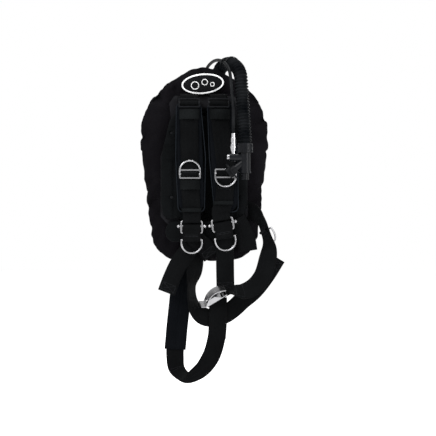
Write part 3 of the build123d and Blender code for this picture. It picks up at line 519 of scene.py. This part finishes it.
crotch_controls = [
    (-2, 1.5, -178, 1, 0, 0), (-2, -12, -178, 1, 0, 0), (-7, -23, -187, 0.98, 0, -0.1),
    (-30, -24, -228, 0.95, 0, -0.3), (-50, -24.5, -268, 0.97, 0, -0.2), (-60, -22, -310, 0.98, 0, -0.2),
    (-68, -16, -384, 1, 0, -0.1), (-79, -15, -490, 1, 0, -0.1), (-82, -17, -545, 0.97, 0.2, 0.1),
    (-77, -22, -578, 0.8, 0.5, 0.3), (-52, -32, -600, 0.1, 0.85, 0.5), (-15, -43, -584, -0.4, 0.65, 0.65),
    (16, -53, -546, -0.85, 0.25, 0.45), (35, -60, -486, -0.98, 0.05, 0.2), (39, -61, -426, -1, 0, 0),
    (39, -61, -390, -1, 0, 0), (39, -58.5, -380, -1, 0, 0), (39, -53.5, -376, -1, 0, 0),
    (39, -48.5, -380, -1, 0, 0), (39, -46, -390, -1, 0, 0), (38, -46, -440, -1, 0, 0),
    (36, -46, -490, -0.98, 0, 0.2),
]
crotch = strap("webbing_crotch", crotch_controls, "crotch_strap", steps=8)

buckle_along = Vector((0.857, 0, 0.515)).normalized()
buckle_lean = math.radians(76)
buckle_out = Vector((-buckle_along.z * math.sin(buckle_lean), -math.cos(buckle_lean),
                     buckle_along.x * math.sin(buckle_lean)))
buckle_across = buckle_out.cross(buckle_along)
buckle_middle = Vector((27, -97, -376))


def beside_buckle(along, depth):
    """A control of the strap that runs through the waist buckle."""
    place = buckle_middle + buckle_along * along - buckle_out * depth
    return (*place, *buckle_across)


waist_left = strap("webbing_waist_left", [
    (98, -22.3, -130, 0, 0, -1), (114, -23.5, -131, 0, 0, -1), (129, -28, -134, 0, 0, -1),
    (144, -39, -144, -0.2, 0.35, -0.9), (160, -47, -163, -0.42, 0.86, -0.15),
    (170, -52, -190, -0.42, 0.9, -0.1), (177, -59, -216, -0.5, 0.86, 0), (180, -68, -246, -0.85, 0.5, 0.1),
    (175, -73, -276, -0.98, 0.1, 0.15), (160, -80, -318, -0.8, 0.15, 0.58),
    (134, -86, -346, -0.4, 0.35, 0.85), (107, -91, -356, -0.2, 0.6, 0.77), (84, -95, -354, -0.15, 0.85, 0.5),
    beside_buckle(50, 7), beside_buckle(34, 4.4), beside_buckle(-24, 4.4)], "waist_strap_left", steps=8)

sew("stitching_tails", tail_right, box_stitch(tail_right.length - 26, tail_right.length - 6))
for side_name, side_strap in (("right", side_right), ("left", side_left)):
    sewn_end = box_stitch(side_strap.length - 24, side_strap.length - 6)
    sew(f"stitching_side_{side_name}", side_strap, [*sewn_end, *across_stitch(34, 38)], both_sides=True)
sew("stitching_waist_right", waist_right, box_stitch(waist_right.length - 30, waist_right.length - 8),
    both_sides=True)
sew("stitching_crotch", crotch, [
    *box_stitch(crotch.length - 40, crotch.length - 12), *across_stitch(432, 437)], both_sides=True)
sew("stitching_waist_left", waist_left,
    box_stitch(waist_left.length - 112, waist_left.length - 90, cross=False), both_sides=True)
sew("stitching_shoulder_right", shoulder_right, across_stitch(300, 304, 352, 356))
sew("stitching_shoulder_left", shoulder_left, across_stitch(352, 356))


def keeper(name, x, z, half_width, front, tall):
    """An elastic band round a shoulder strap."""
    back, corner = -62.6, 3.0
    right = [(half_width - corner, back), (half_width, back - corner), (half_width, front + corner),
             (half_width - corner, front)]
    loop = right + [(-u, y) for u, y in reversed(right)]
    controls = [(x + u, y, z, 0, 0, 1) for u, y in loop + loop[:1]]
    strap(f"keeper_{name}", controls, width=tall, thick=1.6, steps=4, closed=True, material=elastic)


keeper("upper_right", -41, 134, 27.5, -67.6, 28)
keeper("upper_left", 44, 134, 27.5, -67.6, 28)
keeper("chest_right", -38.5, -62, 27.0, -67.6, 26)
keeper("low_right", -35, -132, 27.0, -67.8, 10)
keeper("low_left", 54, -112, 27.0, -67.8, 10)

# ------------ cam bands
TANK_Y, TANK_RADIUS = 101.0, 92.0
PLATE_EDGE, PLATE_BACK = 39.0, 0.6      # where a cam band turns rearwards round the backplate


def cam_band(name, z):
    """The closed loop of a cylinder band, with its spare end laid over it."""
    reach = math.hypot(PLATE_EDGE, TANK_Y + PLATE_BACK)
    heading = math.atan2(TANK_Y + PLATE_BACK, -PLATE_EDGE) - math.asin(TANK_RADIUS / reach)
    radius = TANK_RADIUS + THICK / 2
    start = heading - math.pi / 2
    arc = np.linspace(start, math.pi - start, 41)
    round_part = [(radius * math.cos(a), TANK_Y + radius * math.sin(a)) for a in arc]
    side = (math.sin(heading) * THICK / 2, -math.cos(heading) * THICK / 2)
    inside = -PLATE_BACK - THICK / 2
    first = [(-38.0, inside), (-15.0, inside), (15.0, inside), (38.0, inside),
             (PLATE_EDGE + side[0] + 0.3, -PLATE_BACK + side[1] + 0.2)]
    line = [(PLATE_EDGE + side[0] + math.cos(heading) * d, -PLATE_BACK + side[1] + math.sin(heading) * d)
            for d in (12, 32)]
    closing = [(-x, y) for x, y in reversed(line)] + [(-PLATE_EDGE - 0.3 - side[0], -0.4 + side[1])]
    loop = [*first, *line, *round_part, *closing]
    controls = [(x, y, z, 0, 0, 1) for x, y in loop + loop[:1]]
    strap(f"webbing_{name}", controls, f"{name}_cam_band", steps=2, closed=True)
    spare = [math.radians(a) for a in range(44, 96, 6)]
    tail_radius = radius + THICK
    strap(f"webbing_{name}_end", [
        (tail_radius * math.cos(a), TANK_Y + tail_radius * math.sin(a), z, 0, 0, 1) for a in spare], steps=3)


cam_band("upper", 85.0)
cam_band("lower", -85.0)


# ------------ air cell
def rounded_polygon(corners, radius):
    """A closed outline of straight edges and round corners, in millimetres."""
    per_corner = 8
    points = []
    count = len(corners)
    for k in range(count):
        before, here, after = (np.array(corners[(k + d) % count], float) for d in (-1, 0, 1))
        to_before = (before - here) / np.linalg.norm(before - here)
        to_after = (after - here) / np.linalg.norm(after - here)
        half = math.acos(np.clip(to_before @ to_after, -1, 1)) / 2
        reach = radius / math.tan(half)
        inwards = (to_before + to_after) / np.linalg.norm(to_before + to_after)
        centre = here + inwards * radius / math.sin(half)
        first, last = here + to_before * reach - centre, here + to_after * reach - centre
        turn = math.atan2(first[0] * last[1] - first[1] * last[0], first @ last)
        for t in np.linspace(0, 1, per_corner):
            c, s = math.cos(turn * t), math.sin(turn * t)
            points.append(centre + np.array([first[0] * c - first[1] * s, first[0] * s + first[1] * c]))
    return points


def rectangle(half_wide, half_tall):
    return [(half_wide * x, half_tall * z) for x, z in ((1, 1), (1, -1), (-1, -1), (-1, 1))]


def evaluated_mesh(holder):
    """A mesh of what an object shows, with its modifiers or its curve's depth."""
    return bpy.data.meshes.new_from_object(holder.evaluated_get(bpy.context.evaluated_depsgraph_get()))


def slab(outlines, low, high):
    """A mesh between two depths, from closed outlines in X and Z. A second outline is a hole."""
    curve = bpy.data.curves.new("outline", "CURVE")
    curve.dimensions = "2D"
    curve.fill_mode = "BOTH"
    curve.extrude = (high - low) / 2 * MM
    for outline in outlines:
        line = curve.splines.new("POLY")
        line.points.add(len(outline) - 1)
        for point, (x, z) in zip(line.points, outline):
            point.co = (x * MM, z * MM, 0, 1)
        line.use_cyclic_u = True
    holder = linked("outline", curve)
    mesh = evaluated_mesh(holder)
    bpy.data.objects.remove(holder)
    # The curve lies in XY and faces +Z: stand it up so that its Y is Z and its depth is Y.
    mesh.transform(Matrix(((1, 0, 0, 0), (0, 0, -1, (low + high) / 2 * MM), (0, 1, 0, 0), (0, 0, 0, 1))))
    return mesh


def apply_modifiers(holder):
    """Puts what an object's modifiers do into its mesh, and takes them off."""
    bpy.context.view_layer.update()
    mesh = evaluated_mesh(holder)
    holder.modifiers.clear()
    old = holder.data
    holder.data = mesh
    bpy.data.meshes.remove(old)


def remeshed(name, mesh, voxel):
    """An object with a mesh's shape, but even faces about voxel across."""
    holder = linked(name, mesh)
    step = holder.modifiers.new("even", "REMESH")
    step.mode = "VOXEL"
    step.voxel_size = voxel * MM
    apply_modifiers(holder)
    return holder


def points_of(mesh):
    co = np.empty(len(mesh.vertices) * 3)
    mesh.vertices.foreach_get("co", co)
    return co.reshape(-1, 3) / MM


def set_points(mesh, co):
    mesh.vertices.foreach_set("co", (np.asarray(co) * MM).ravel())
    mesh.update()


def finish_soft(holder, material, slot_name, *nodes):
    """Rounds a soft piece, gives it its material, and puts it in place of CAD nodes."""
    smoother = holder.modifiers.new("round", "SUBSURF")
    smoother.levels = smoother.render_levels = 1
    holder.data.shade_smooth()
    wear(holder, material)
    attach(holder, HARNESS)
    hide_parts(*nodes)


def inflate(holder, held, pressure):
    """Blows a mesh up like an air cell, with the vertices in held fixed."""
    frames = 20
    group = holder.vertex_groups.new(name="held")
    group.add([int(i) for i in held], 1.0, "REPLACE")
    cloth = holder.modifiers.new("cloth", "CLOTH")
    settings = cloth.settings
    settings.quality = 6
    settings.mass = 0.25
    settings.tension_stiffness = settings.compression_stiffness = 30
    settings.shear_stiffness = 12
    settings.bending_stiffness = 0.6
    settings.use_pressure = True
    settings.uniform_pressure_force = pressure
    settings.vertex_group_mass = "held"
    settings.effector_weights.gravity = 0
    cloth.collision_settings.use_collision = False
    cloth.point_cache.frame_start, cloth.point_cache.frame_end = 1, frames
    for step in range(1, frames + 1):
        bpy.context.scene.frame_set(step)
    apply_modifiers(holder)
    bpy.context.scene.frame_set(1)


def noise_field(co, scale, offset=0.0):
    """Smooth noise between -1 and 1 at each point."""
    return np.array([noise_at(x * scale + offset, y * scale, z * scale) for x, y, z in co])


def reach_by_angle(points):
    """How far an outline reaches from the middle, for each direction round it."""
    bins = 180
    angles = np.arctan2(points[:, 1], points[:, 0])
    reach = np.hypot(points[:, 0], points[:, 1])
    directions = (np.arange(bins) + 0.5) / bins * 2 * math.pi - math.pi
    index = ((angles + math.pi) / FULL_TURN * bins).astype(int) % bins
    furthest = np.array([reach[index == k].max() if (index == k).any() else 0.0 for k in range(bins)])
    known = furthest > 0
    return directions, np.interp(directions, directions[known], furthest[known], period=FULL_TURN)


def dense(outline):
    """An outline with a point every few millimetres."""
    step = 2.0
    closed = np.vstack([outline, outline[:1]])
    pieces = [a + (b - a) * t for a, b in zip(closed, closed[1:])
              for t in np.arange(0, 1, step / max(step, np.linalg.norm(b - a)))]
    return np.array(pieces)


def over_neighbours(values, measure):
    """A measure of each value and the two on either side of it, round a closed row."""
    return np.array([measure(np.take(values, range(k - 2, k + 3), mode="wrap")) for k in range(len(values))])


def noise_round(angles, scale, layer):
    """Noise that meets itself round the rim."""
    return np.array([noise_at(math.cos(a) * scale, math.sin(a) * scale, layer) for a in angles])


RIM_RIGHT = [(26, 277), (120, 221), (153, 184), (180, 122), (183, 60), (150, -225), (108, -277)]
RIM_CORNER = 85.0
RECESS_X, RECESS_Z = 80, 196        # half the size of the flat panel in the cell's middle
WING_FRONT, WING_REAR, WING_MIDDLE = -18.0, 40.0, 11.0
FLAT_DEPTH = 8.0                    # from the cell's middle to each face, before it's blown up
BLOWN_DEPTH = 28.5                  # the same when it's full
CELL_PRESSURE = 6.0
CELL_VOXEL = 6.0
TUCKS = [math.atan2(z, x) for x, z in ((-134, 192), (-180, 76), (168, 124), (170, -67), (-152, -120))]
TANK_CLEAR = TANK_RADIUS + 3


def groove(value, middle, width):
    """1 at the middle, falling to 0 a width or two away."""
    return np.exp(-(((value - middle) / width) ** 2))


def near_tuck(angles, width):
    """1 on a tuck of the rim, falling to 0 beside it."""
    off = [np.abs(np.angle(np.exp(1j * (angles - tuck)))) for tuck in TUCKS]
    return groove(np.min(off, axis=0), 0, width)


def puckered_reach(outline):
    """How far the blown rim reaches: the sewn outline, drawn in by puckers and tucks."""
    directions, reach = reach_by_angle(dense(np.array(outline)))
    reach = reach - 2.0 + np.minimum(noise_round(directions, 7, 4), 0.2) * 5.0
    return reach - 5.0 * near_tuck(directions, 0.03)


def fit_rim(co, wanted):
    """Stretches the cell outside its panel, so that its rim reaches as far as wanted."""
    directions, blown = reach_by_angle(co[:, [0, 2]])
    blown = over_neighbours(blown, np.median)
    for _ in range(3):
        stretch = np.interp(np.arctan2(co[:, 2], co[:, 0]), directions, wanted / blown, period=FULL_TURN)
        outside = np.hypot(co[:, 0] / (RECESS_X + 4), co[:, 2] / (RECESS_Z + 4)) - 1.0
        outer = np.clip(outside / 0.35, 0, 1)
        co[:, 0] *= 1 + (stretch - 1) * outer
        co[:, 2] *= 1 + (stretch - 1) * outer
        directions, blown = reach_by_angle(co[:, [0, 2]])


def crumple(co, wanted):
    """Brings the cell to its full depth, puckers its rim and lays soft creases over it."""
    pucker_depth, tuck_depth = 14, 7
    angle = np.arctan2(co[:, 2], co[:, 0])
    depth = co[:, 1] - WING_MIDDLE
    co[:, 1] = WING_MIDDLE + BLOWN_DEPTH * depth / np.where(depth > 0, depth.max(), -depth.min())
    directions = reach_by_angle(co[:, [0, 2]])[0]
    from_rim = np.interp(angle, directions, wanted, period=FULL_TURN) - np.hypot(co[:, 0], co[:, 2])
    inwards = -np.sign(co[:, 1] - WING_MIDDLE)
    puckers = np.clip(noise_round(angle, 13, 1), 0, 1)
    creases = noise_field(co, 0.028) * 4.0 + noise_field(co, 0.07, 9.0) * 1.6
    co[:, 1] += inwards * puckers * pucker_depth * groove(from_rim, 22, 18)
    co[:, 1] += inwards * near_tuck(angle, 0.035) * tuck_depth * groove(from_rim, 8, 26)
    co[:, 1] += creases * np.clip(1.2 - from_rim / 90, 0.2, 1)


def make_room_for_tank(co):
    """Presses the cell's rear into the cylinder's shape, and keeps it within its depth."""
    tank_gap = np.hypot(co[:, 0], co[:, 1] - TANK_Y)
    in_groove = (tank_gap < TANK_CLEAR) & (co[:, 2] < 172)
    co[in_groove, 1] = TANK_Y - np.sqrt(TANK_CLEAR**2 - np.clip(co[in_groove, 0], -90, 90) ** 2)
    co[:, 1] = np.clip(co[:, 1], WING_FRONT - 0.5, WING_REAR + 2)


def air_cell_points(wing, outline):
    """The points of the air cell, blown up by pressure."""
    co = points_of(wing.data)
    inner = np.where((np.abs(co[:, 0]) < RECESS_X + 3) & (np.abs(co[:, 2]) < RECESS_Z + 3))[0]
    inflate(wing, inner, CELL_PRESSURE)
    co = points_of(wing.data)
    wanted = puckered_reach(outline)
    fit_rim(co, wanted)
    crumple(co, wanted)
    make_room_for_tank(co)
    return co


wing_outline = rounded_polygon([*RIM_RIGHT, *[(-x, z) for x, z in reversed(RIM_RIGHT)]], RIM_CORNER)
recess = rounded_polygon(rectangle(RECESS_X, RECESS_Z), 22.0)
flat_cell = slab([wing_outline, recess], WING_MIDDLE - FLAT_DEPTH, WING_MIDDLE + FLAT_DEPTH)
air_cell = remeshed("air_cell", flat_cell, CELL_VOXEL)
cell_points = air_cell_points(air_cell, wing_outline)
set_points(air_cell.data, cell_points)
finish_soft(air_cell, nylon, "cover_nylon", "wing_cover", "wing_bladder")

centre_panel = slab([rounded_polygon(rectangle(RECESS_X + 6, RECESS_Z + 6), 24.0)], 4.2, 7.8)
add_piece("air_cell_panel", centre_panel, nylon, smooth=False)

# A tape seam all round the rim, where the two faces meet.
rim_angles, rim = reach_by_angle(cell_points[:, [0, 2]])
seam_reach = over_neighbours(rim, np.min) - 1.5
seam = [(r * math.cos(a), WING_MIDDLE, r * math.sin(a), 0, 1, 0)
        for a, r in zip(rim_angles[::2], seam_reach[::2])]
strap("air_cell_seam", [*seam, seam[0]], width=9.0, thick=1.8, steps=4, closed=True, material=nylon_band)


# ------------ pads
def soft_copy(name, node, voxel, rounds, shape_change, material, slot_name):
    """A soft version of a CAD block: evenly remeshed, smoothed, and shaped by a function of its points."""
    holder = remeshed(name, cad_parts[node].data.copy(), voxel)
    relax = holder.modifiers.new("relax", "SMOOTH")
    relax.iterations = rounds
    relax.factor = 0.6
    apply_modifiers(holder)
    set_points(holder.data, shape_change(points_of(holder.data)))
    finish_soft(holder, material, slot_name, node)


def back_pad_shape(co):
    """Quilted channels across and along the pad, and a ridge up the middle of its top."""
    side = np.clip((np.abs(co[:, 0]) - 30) / 22, 0, 1)
    front = np.clip((-8 - co[:, 1]) / 6, 0, 1)
    lines = sum(groove(co[:, 2], z, 3.2) for z in (98, 73, 45, 6, -150))
    channel = sum(groove(np.abs(co[:, 0]), x, 3.0) for x in (42, 84)) * (co[:, 2] < 8)
    ridge = groove(co[:, 0], 0, 5.0) * (co[:, 2] > 96)
    co[:, 1] += front * side * (lines * 3.2 + channel * 3.6) - front * ridge * 3.0
    co[:, 1] += front * groove(co[:, 2], 4, 3.0) * 2.0
    co[:, 1] += noise_field(co, 0.05) * 1.2 * front
    return co


def shoulder_pad_shape(co):
    """A slightly uneven face."""
    co[:, 1] += noise_field(co, 0.04, 3.0) * 0.7
    return co


def lumbar_shape(co):
    """A full middle, with a crease down it."""
    middle = groove(co[:, 2], -192, 16.0)
    co[:, 1] += np.where(co[:, 1] < -42, -1, 0.3) * middle * 2.4 + noise_field(co, 0.05, 5.0)
    co[:, 1] += groove(co[:, 0], 0, 3.0) * 2.0
    return co


soft_copy("back_cushion", "back_pad", 4.0, 4, back_pad_shape, mesh_pad, "pad_mesh")
soft_copy("lumbar_cushion", "lumbar_pad", 4.0, 3, lumbar_shape, mesh_pad, "pad_mesh")
for side_name in ("right", "left"):
    soft_copy(f"shoulder_cushion_{side_name}", f"shoulder_pad_{side_name}", 3.0, 3, shoulder_pad_shape,
              neoprene, "pad_neoprene")


def sleeve_mesh(name, ribbon, rows, width, thick):
    """A neoprene sleeve round some rows of a strap, with a seam down its middle."""
    half = width / 2
    columns = np.linspace(-half, half, 25)
    shape = bmesh.new()
    rings = []
    for k in rows:
        ring = []
        for sign in (1, -1):
            order = columns if sign > 0 else columns[::-1]
            for u in order:
                swell = math.sqrt(max(0.0, 1 - (abs(u) / half) ** 3)) * thick / 2 + 0.3
                swell -= 1.1 * math.exp(-((u / 1.6) ** 2))
                swell += 0.35 * noise_at(u * 0.08, ribbon.distance[k] * 0.05, sign)
                place = ribbon.middle[k] + ribbon.across[k] * u + ribbon.out[k] * swell * sign
                ring.append(shape.verts.new(Vector(place) * MM))
        rings.append(ring)
    for here, there in zip(rings, rings[1:]):
        bridge(shape, here, there)
    shape.faces.new(reversed(rings[0]))
    shape.faces.new(rings[-1])
    return made_mesh(shape, name)


sleeve_rows = range(32, 62)
crotch_sleeve = sleeve_mesh("crotch_sleeve", crotch, sleeve_rows, 60.0, 9.0)
add_piece("crotch_sleeve", crotch_sleeve, neoprene, "crotch_pad")


def bound_edge(name, outline, depth):
    """Edge tape round a flat pad, from its outline in X and Z and its depth."""
    rows = [(x, depth, z, 0, 1, 0) for x, z in outline]
    strap(name, [*rows, rows[0]], width=9.5, thick=2.6, steps=2, closed=True, material=binding)


for side_name, corners in (
    ("right", [(-72, -137), (2, -137), (-8.5, 165), (-77, 165)]),
    ("left", [(29, -137), (96, -137), (77, 165), (9, 165)]),
):
    bound_edge(f"pad_binding_{side_name}", rounded_polygon(corners, 14.0), -57.8)

# ------------ patch
PATCH_HALF_WIDE, PATCH_HALF_HIGH = 61, 30
patch_turn = Matrix.Rotation(math.radians(-5), 4, "Y")
patch_middle = Vector((-4, WING_FRONT - 1.4, 224)) * MM


def on_patch(u, v, out=0.0):
    """A point of the patch: u across it, v up it, out from the cloth."""
    return patch_middle + patch_turn @ Vector((u * MM, -out * MM, v * MM))


def patch_face():
    """An oval of cloth, slightly domed, with a turned edge."""
    shape = bmesh.new()

    def oval(share, out):
        wide, high = PATCH_HALF_WIDE * share, PATCH_HALF_HIGH * share
        return [shape.verts.new(on_patch(wide * math.cos(a), high * math.sin(a), out)) for a in circle(64)]

    rings = [oval(r, 1.4 * (1 - r**4)) for r in np.linspace(0.12, 1, 9)]
    for here, there in zip(rings, rings[1:]):
        bridge(shape, here, there)
    shape.faces.new(rings[0])
    back = oval(1, -1.2)
    bridge(shape, rings[-1], back)
    shape.faces.new(back)
    return made_mesh(shape, "name_patch_cloth")


def satin_ring(shape, u0, v0, wide, high, band):
    """A ring of close satin stitches on the patch: each stitch is a short ridge across the ring."""
    pitch, half_thread = 1.1, 0.62
    count = int(FULL_TURN * math.sqrt((wide**2 + high**2) / 2) / pitch)
    slant = 0.35 / max(wide, high)
    for k in range(count):
        a = FULL_TURN * k / count
        start, end = (
            np.array([u0 + (wide + reach) * math.cos(a + turn), v0 + (high + reach) * math.sin(a + turn)])
            for reach, turn in ((-band / 2, -slant), (band / 2, slant))
        )
        along = (end - start) / np.linalg.norm(end - start)
        side = np.array([-along[1], along[0]]) * half_thread
        rings = []
        for t, swell in ((0.0, 0.5), (0.5, 1.0), (1.0, 0.5)):
            middle = start + (end - start) * t
            height = 1.3 + 0.9 * swell
            rings.append([shape.verts.new(on_patch(*(middle + side * s), height * h))
                          for s, h in ((-1, 0.55), (0, 1.0), (1, 0.55))])
        for here, there in zip(rings, rings[1:]):
            for m in range(2):
                shape.faces.new((here[m], here[m + 1], there[m + 1], there[m]))


add_piece("patch_cloth", patch_face(), patch_cloth, "name_patch")
embroidery = bmesh.new()
satin_ring(embroidery, 0, 0, 57.5, 26.5, 4.3)
for u, v, radius in ((-22, -3, 10.5), (6, 4, 8.0), (27, -4, 5.5)):
    satin_ring(embroidery, u, v, radius, radius, 2.2)
embroidery_mesh = bpy.data.meshes.new("patch_embroidery")
embroidery.to_mesh(embroidery_mesh)
embroidery.free()
add_piece("patch_embroidery", embroidery_mesh, thread_white, smooth=False)


# ------------ hoses
def hose_points(start, foot, top_radius, bend, last_radius):
    """The middle line of a hose that rises, arches over the shoulder, and hangs down to its foot."""
    step = 0.4
    first_radius, second_radius = 30, 55
    span = math.hypot(foot[0] - start[0], foot[1] - start[1])
    forwards = np.array([foot[0] - start[0], foot[1] - start[1]]) / span
    lean = 60 - bend
    parts = [
        (2.0, 0.0),
        (first_radius * math.radians(75), first_radius),
        (top_radius * math.radians(45), top_radius),
        (second_radius * math.radians(bend), second_radius),
    ]
    flat_line, heading = [(0.0, start[2])], math.pi / 2

    def follow(length, radius):
        """Carries the line on, bending downwards round a radius. 0 is straight."""
        nonlocal heading
        count = max(1, round(length / step))
        for _ in range(count):
            turn = length / count / radius if radius else 0.0
            x, z = flat_line[-1]
            middle = heading - turn / 2
            flat_line.append((x + math.cos(middle) * length / count, z + math.sin(middle) * length / count))
            heading -= turn

    for length, radius in parts:
        follow(length, radius)
    reach = span - flat_line[-1][0] - last_radius * (1 - math.cos(math.radians(lean)))
    follow(reach / math.sin(math.radians(lean)), 0)
    follow(last_radius * math.radians(lean), last_radius)
    follow(flat_line[-1][1] - foot[2], 0)
    return np.array([(start[0] + forwards[0] * s, start[1] + forwards[1] * s, z) for s, z in flat_line])


def tube_mesh(name, line, radius_at, sides=36, step=0.8):
    """A tube along a line, with its radius given as a function of the distance along."""
    distance = lengths_along(line)
    samples = np.arange(0, distance[-1], step)
    places = np.array([at_distance(d, distance, line) for d in samples])
    ahead = np.gradient(places, axis=0)
    ahead /= np.linalg.norm(ahead, axis=1)[:, None]
    side = np.cross(ahead[0], ahead[len(ahead) // 3])
    side /= np.linalg.norm(side)
    shape = bmesh.new()
    rings = []
    for k, place in enumerate(places):
        other = np.cross(ahead[k], side)
        radius = radius_at(samples[k])
        rings.append([
            shape.verts.new(Vector(place + (side * math.cos(a) + other * math.sin(a)) * radius) * MM)
            for a in circle(sides)])
    for here, there in zip(rings, rings[1:]):
        bridge(shape, here, there)
    shape.faces.new(reversed(rings[0]))
    shape.faces.new(rings[-1])
    return made_mesh(shape, name)


FOLD_PITCH, FOLD_BOTTOM, FOLD_HEIGHT = 8.9, 14.9, 4.1
PRESSURE_HOSE_RADIUS = 4.6


def fold_radius(distance):
    """The corrugated hose's radius: narrow valleys between round folds."""
    wave = 0.5 + 0.5 * math.cos(FULL_TURN * distance / FOLD_PITCH)
    return FOLD_BOTTOM + FOLD_HEIGHT * wave**1.1


inflator_line = hose_points((40.0, 64.0, 246.0), (113.0, -130.0, 24.0), 170, 50, 150)
inflator_hose = tube_mesh("hose_folds", inflator_line, fold_radius)
add_piece("hose_folds", inflator_hose, hose_rubber, "corrugated_hose", HOSES)
pressure_line = hose_points((4.0, 96.0, 256.0), (81.0, -130.0, 76.4), 220, 45, 120)
pressure_hose = tube_mesh("pressure_hose", pressure_line, lambda distance: PRESSURE_HOSE_RADIUS, 24, 2.0)
add_piece("pressure_hose", pressure_hose, soft_rubber, "lp_hose", HOSES)

# ------------ CAD pieces
LOOK_OF_SLOT = {"aluminium": anodised, "black_plastic": plastic, "rubber": soft_rubber, "webbing": nylon_band,
                "button_metal": steel, "chrome": chrome, "steel": steel}
NODES_OF_SLOT = {
    "aluminium": ("backplate",), "webbing": ("hip_tab",), "button_metal": ("inflate_button",),
    "rubber": ("tank_rails", "mouthpiece", "hose_tie"),
    "chrome": ("lp_nipple", "lp_coupling", "coupling_sleeve", "lp_hose_fitting"),
    "black_plastic": ("pad_screws", "ladder_buckles", "elbow_flange", "inflator_elbow", "hose_collar",
                      "inflator_body", "deflate_button", "dump_housing", "dump_cap", "dump_poppet",
                      "dump_knob", "dump_cord"),
}
slot_of = {name: slot_name for slot_name, names in NODES_OF_SLOT.items() for name in names}
for name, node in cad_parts.items():
    if not node.hide_render:
        slot_name = slot_of.get(name, "steel")
        wear(node, thread_dark if name == "dump_cord" else LOOK_OF_SLOT[slot_name])

# ------------ studio
WHITE_SEEN, WHITE_CAST = 1.0, 0.7      # the sky's brightness to the camera, and as a light
FLOOR_Z, FLOOR_HALF = -0.72, 9.0
CAMERA_PLACE, CAMERA_LENS, CAMERA_SENSOR = (0.039, -3.24, -0.154), 94.4, 36.0
paper, _, paper_surface = start_material("paper_look", 0.9, specular=0.1)
paper_surface.inputs["Base Color"].default_value = (0.93, 0.93, 0.93, 1)
paper_surface.inputs["Emission Color"].default_value = (1, 1, 1, 1)
paper_surface.inputs["Emission Strength"].default_value = 0.35


def floor_sheet():
    """The white paper under the object."""
    mesh = bpy.data.meshes.new("floor_sheet")
    square = ((-1, -1), (1, -1), (1, 1), (-1, 1))
    mesh.from_pydata([(x * FLOOR_HALF, y * FLOOR_HALF, FLOOR_Z) for x, y in square], [], [(0, 1, 2, 3)])
    mesh.materials.append(paper)
    linked("floor_sheet", mesh)


floor_sheet()


def soft_light(name, place, aim, size, power):
    """A rectangular lamp. Its place, aim and size are in metres."""
    light = bpy.data.lights.new(name, "AREA")
    light.shape = "RECTANGLE"
    light.size, light.size_y = size
    light.energy = power
    made = linked(name, light)
    made.location = place
    made.rotation_euler = (Vector(aim) - Vector(place)).to_track_quat("-Z", "Y").to_euler()


soft_light("key", (-1.9, -2.3, 2.0), (0, 0, -0.1), (1.6, 1.6), 95)
soft_light("fill", (2.3, -2.0, 0.7), (0, 0, -0.1), (1.4, 2.0), 45)
soft_light("top", (0.2, -0.3, 2.6), (0, 0, 0), (1.6, 1.0), 50)
soft_light("rear", (1.6, 2.6, 1.8), (0, 0, -0.1), (1.6, 1.6), 60)
world = bpy.data.worlds.new("studio")
world.use_nodes = True
sky = world.node_tree
seen = make_node(sky, "ShaderNodeLightPath").outputs["Is Camera Ray"]
strength = scaled(sky, seen, WHITE_SEEN - WHITE_CAST, WHITE_CAST)
sky.nodes["Background"].inputs[0].default_value = (1, 1, 1, 1)
sky.links.new(strength, sky.nodes["Background"].inputs[1])
bpy.context.scene.world = world
bpy.context.scene.view_settings.view_transform = "Standard"

camera_data = bpy.data.cameras.new("camera")
camera_data.lens = CAMERA_LENS
camera_data.sensor_width = CAMERA_SENSOR
camera = linked("camera", camera_data)
camera.location = CAMERA_PLACE
camera.rotation_euler = (math.pi / 2, 0, 0)
bpy.context.scene.camera = camera
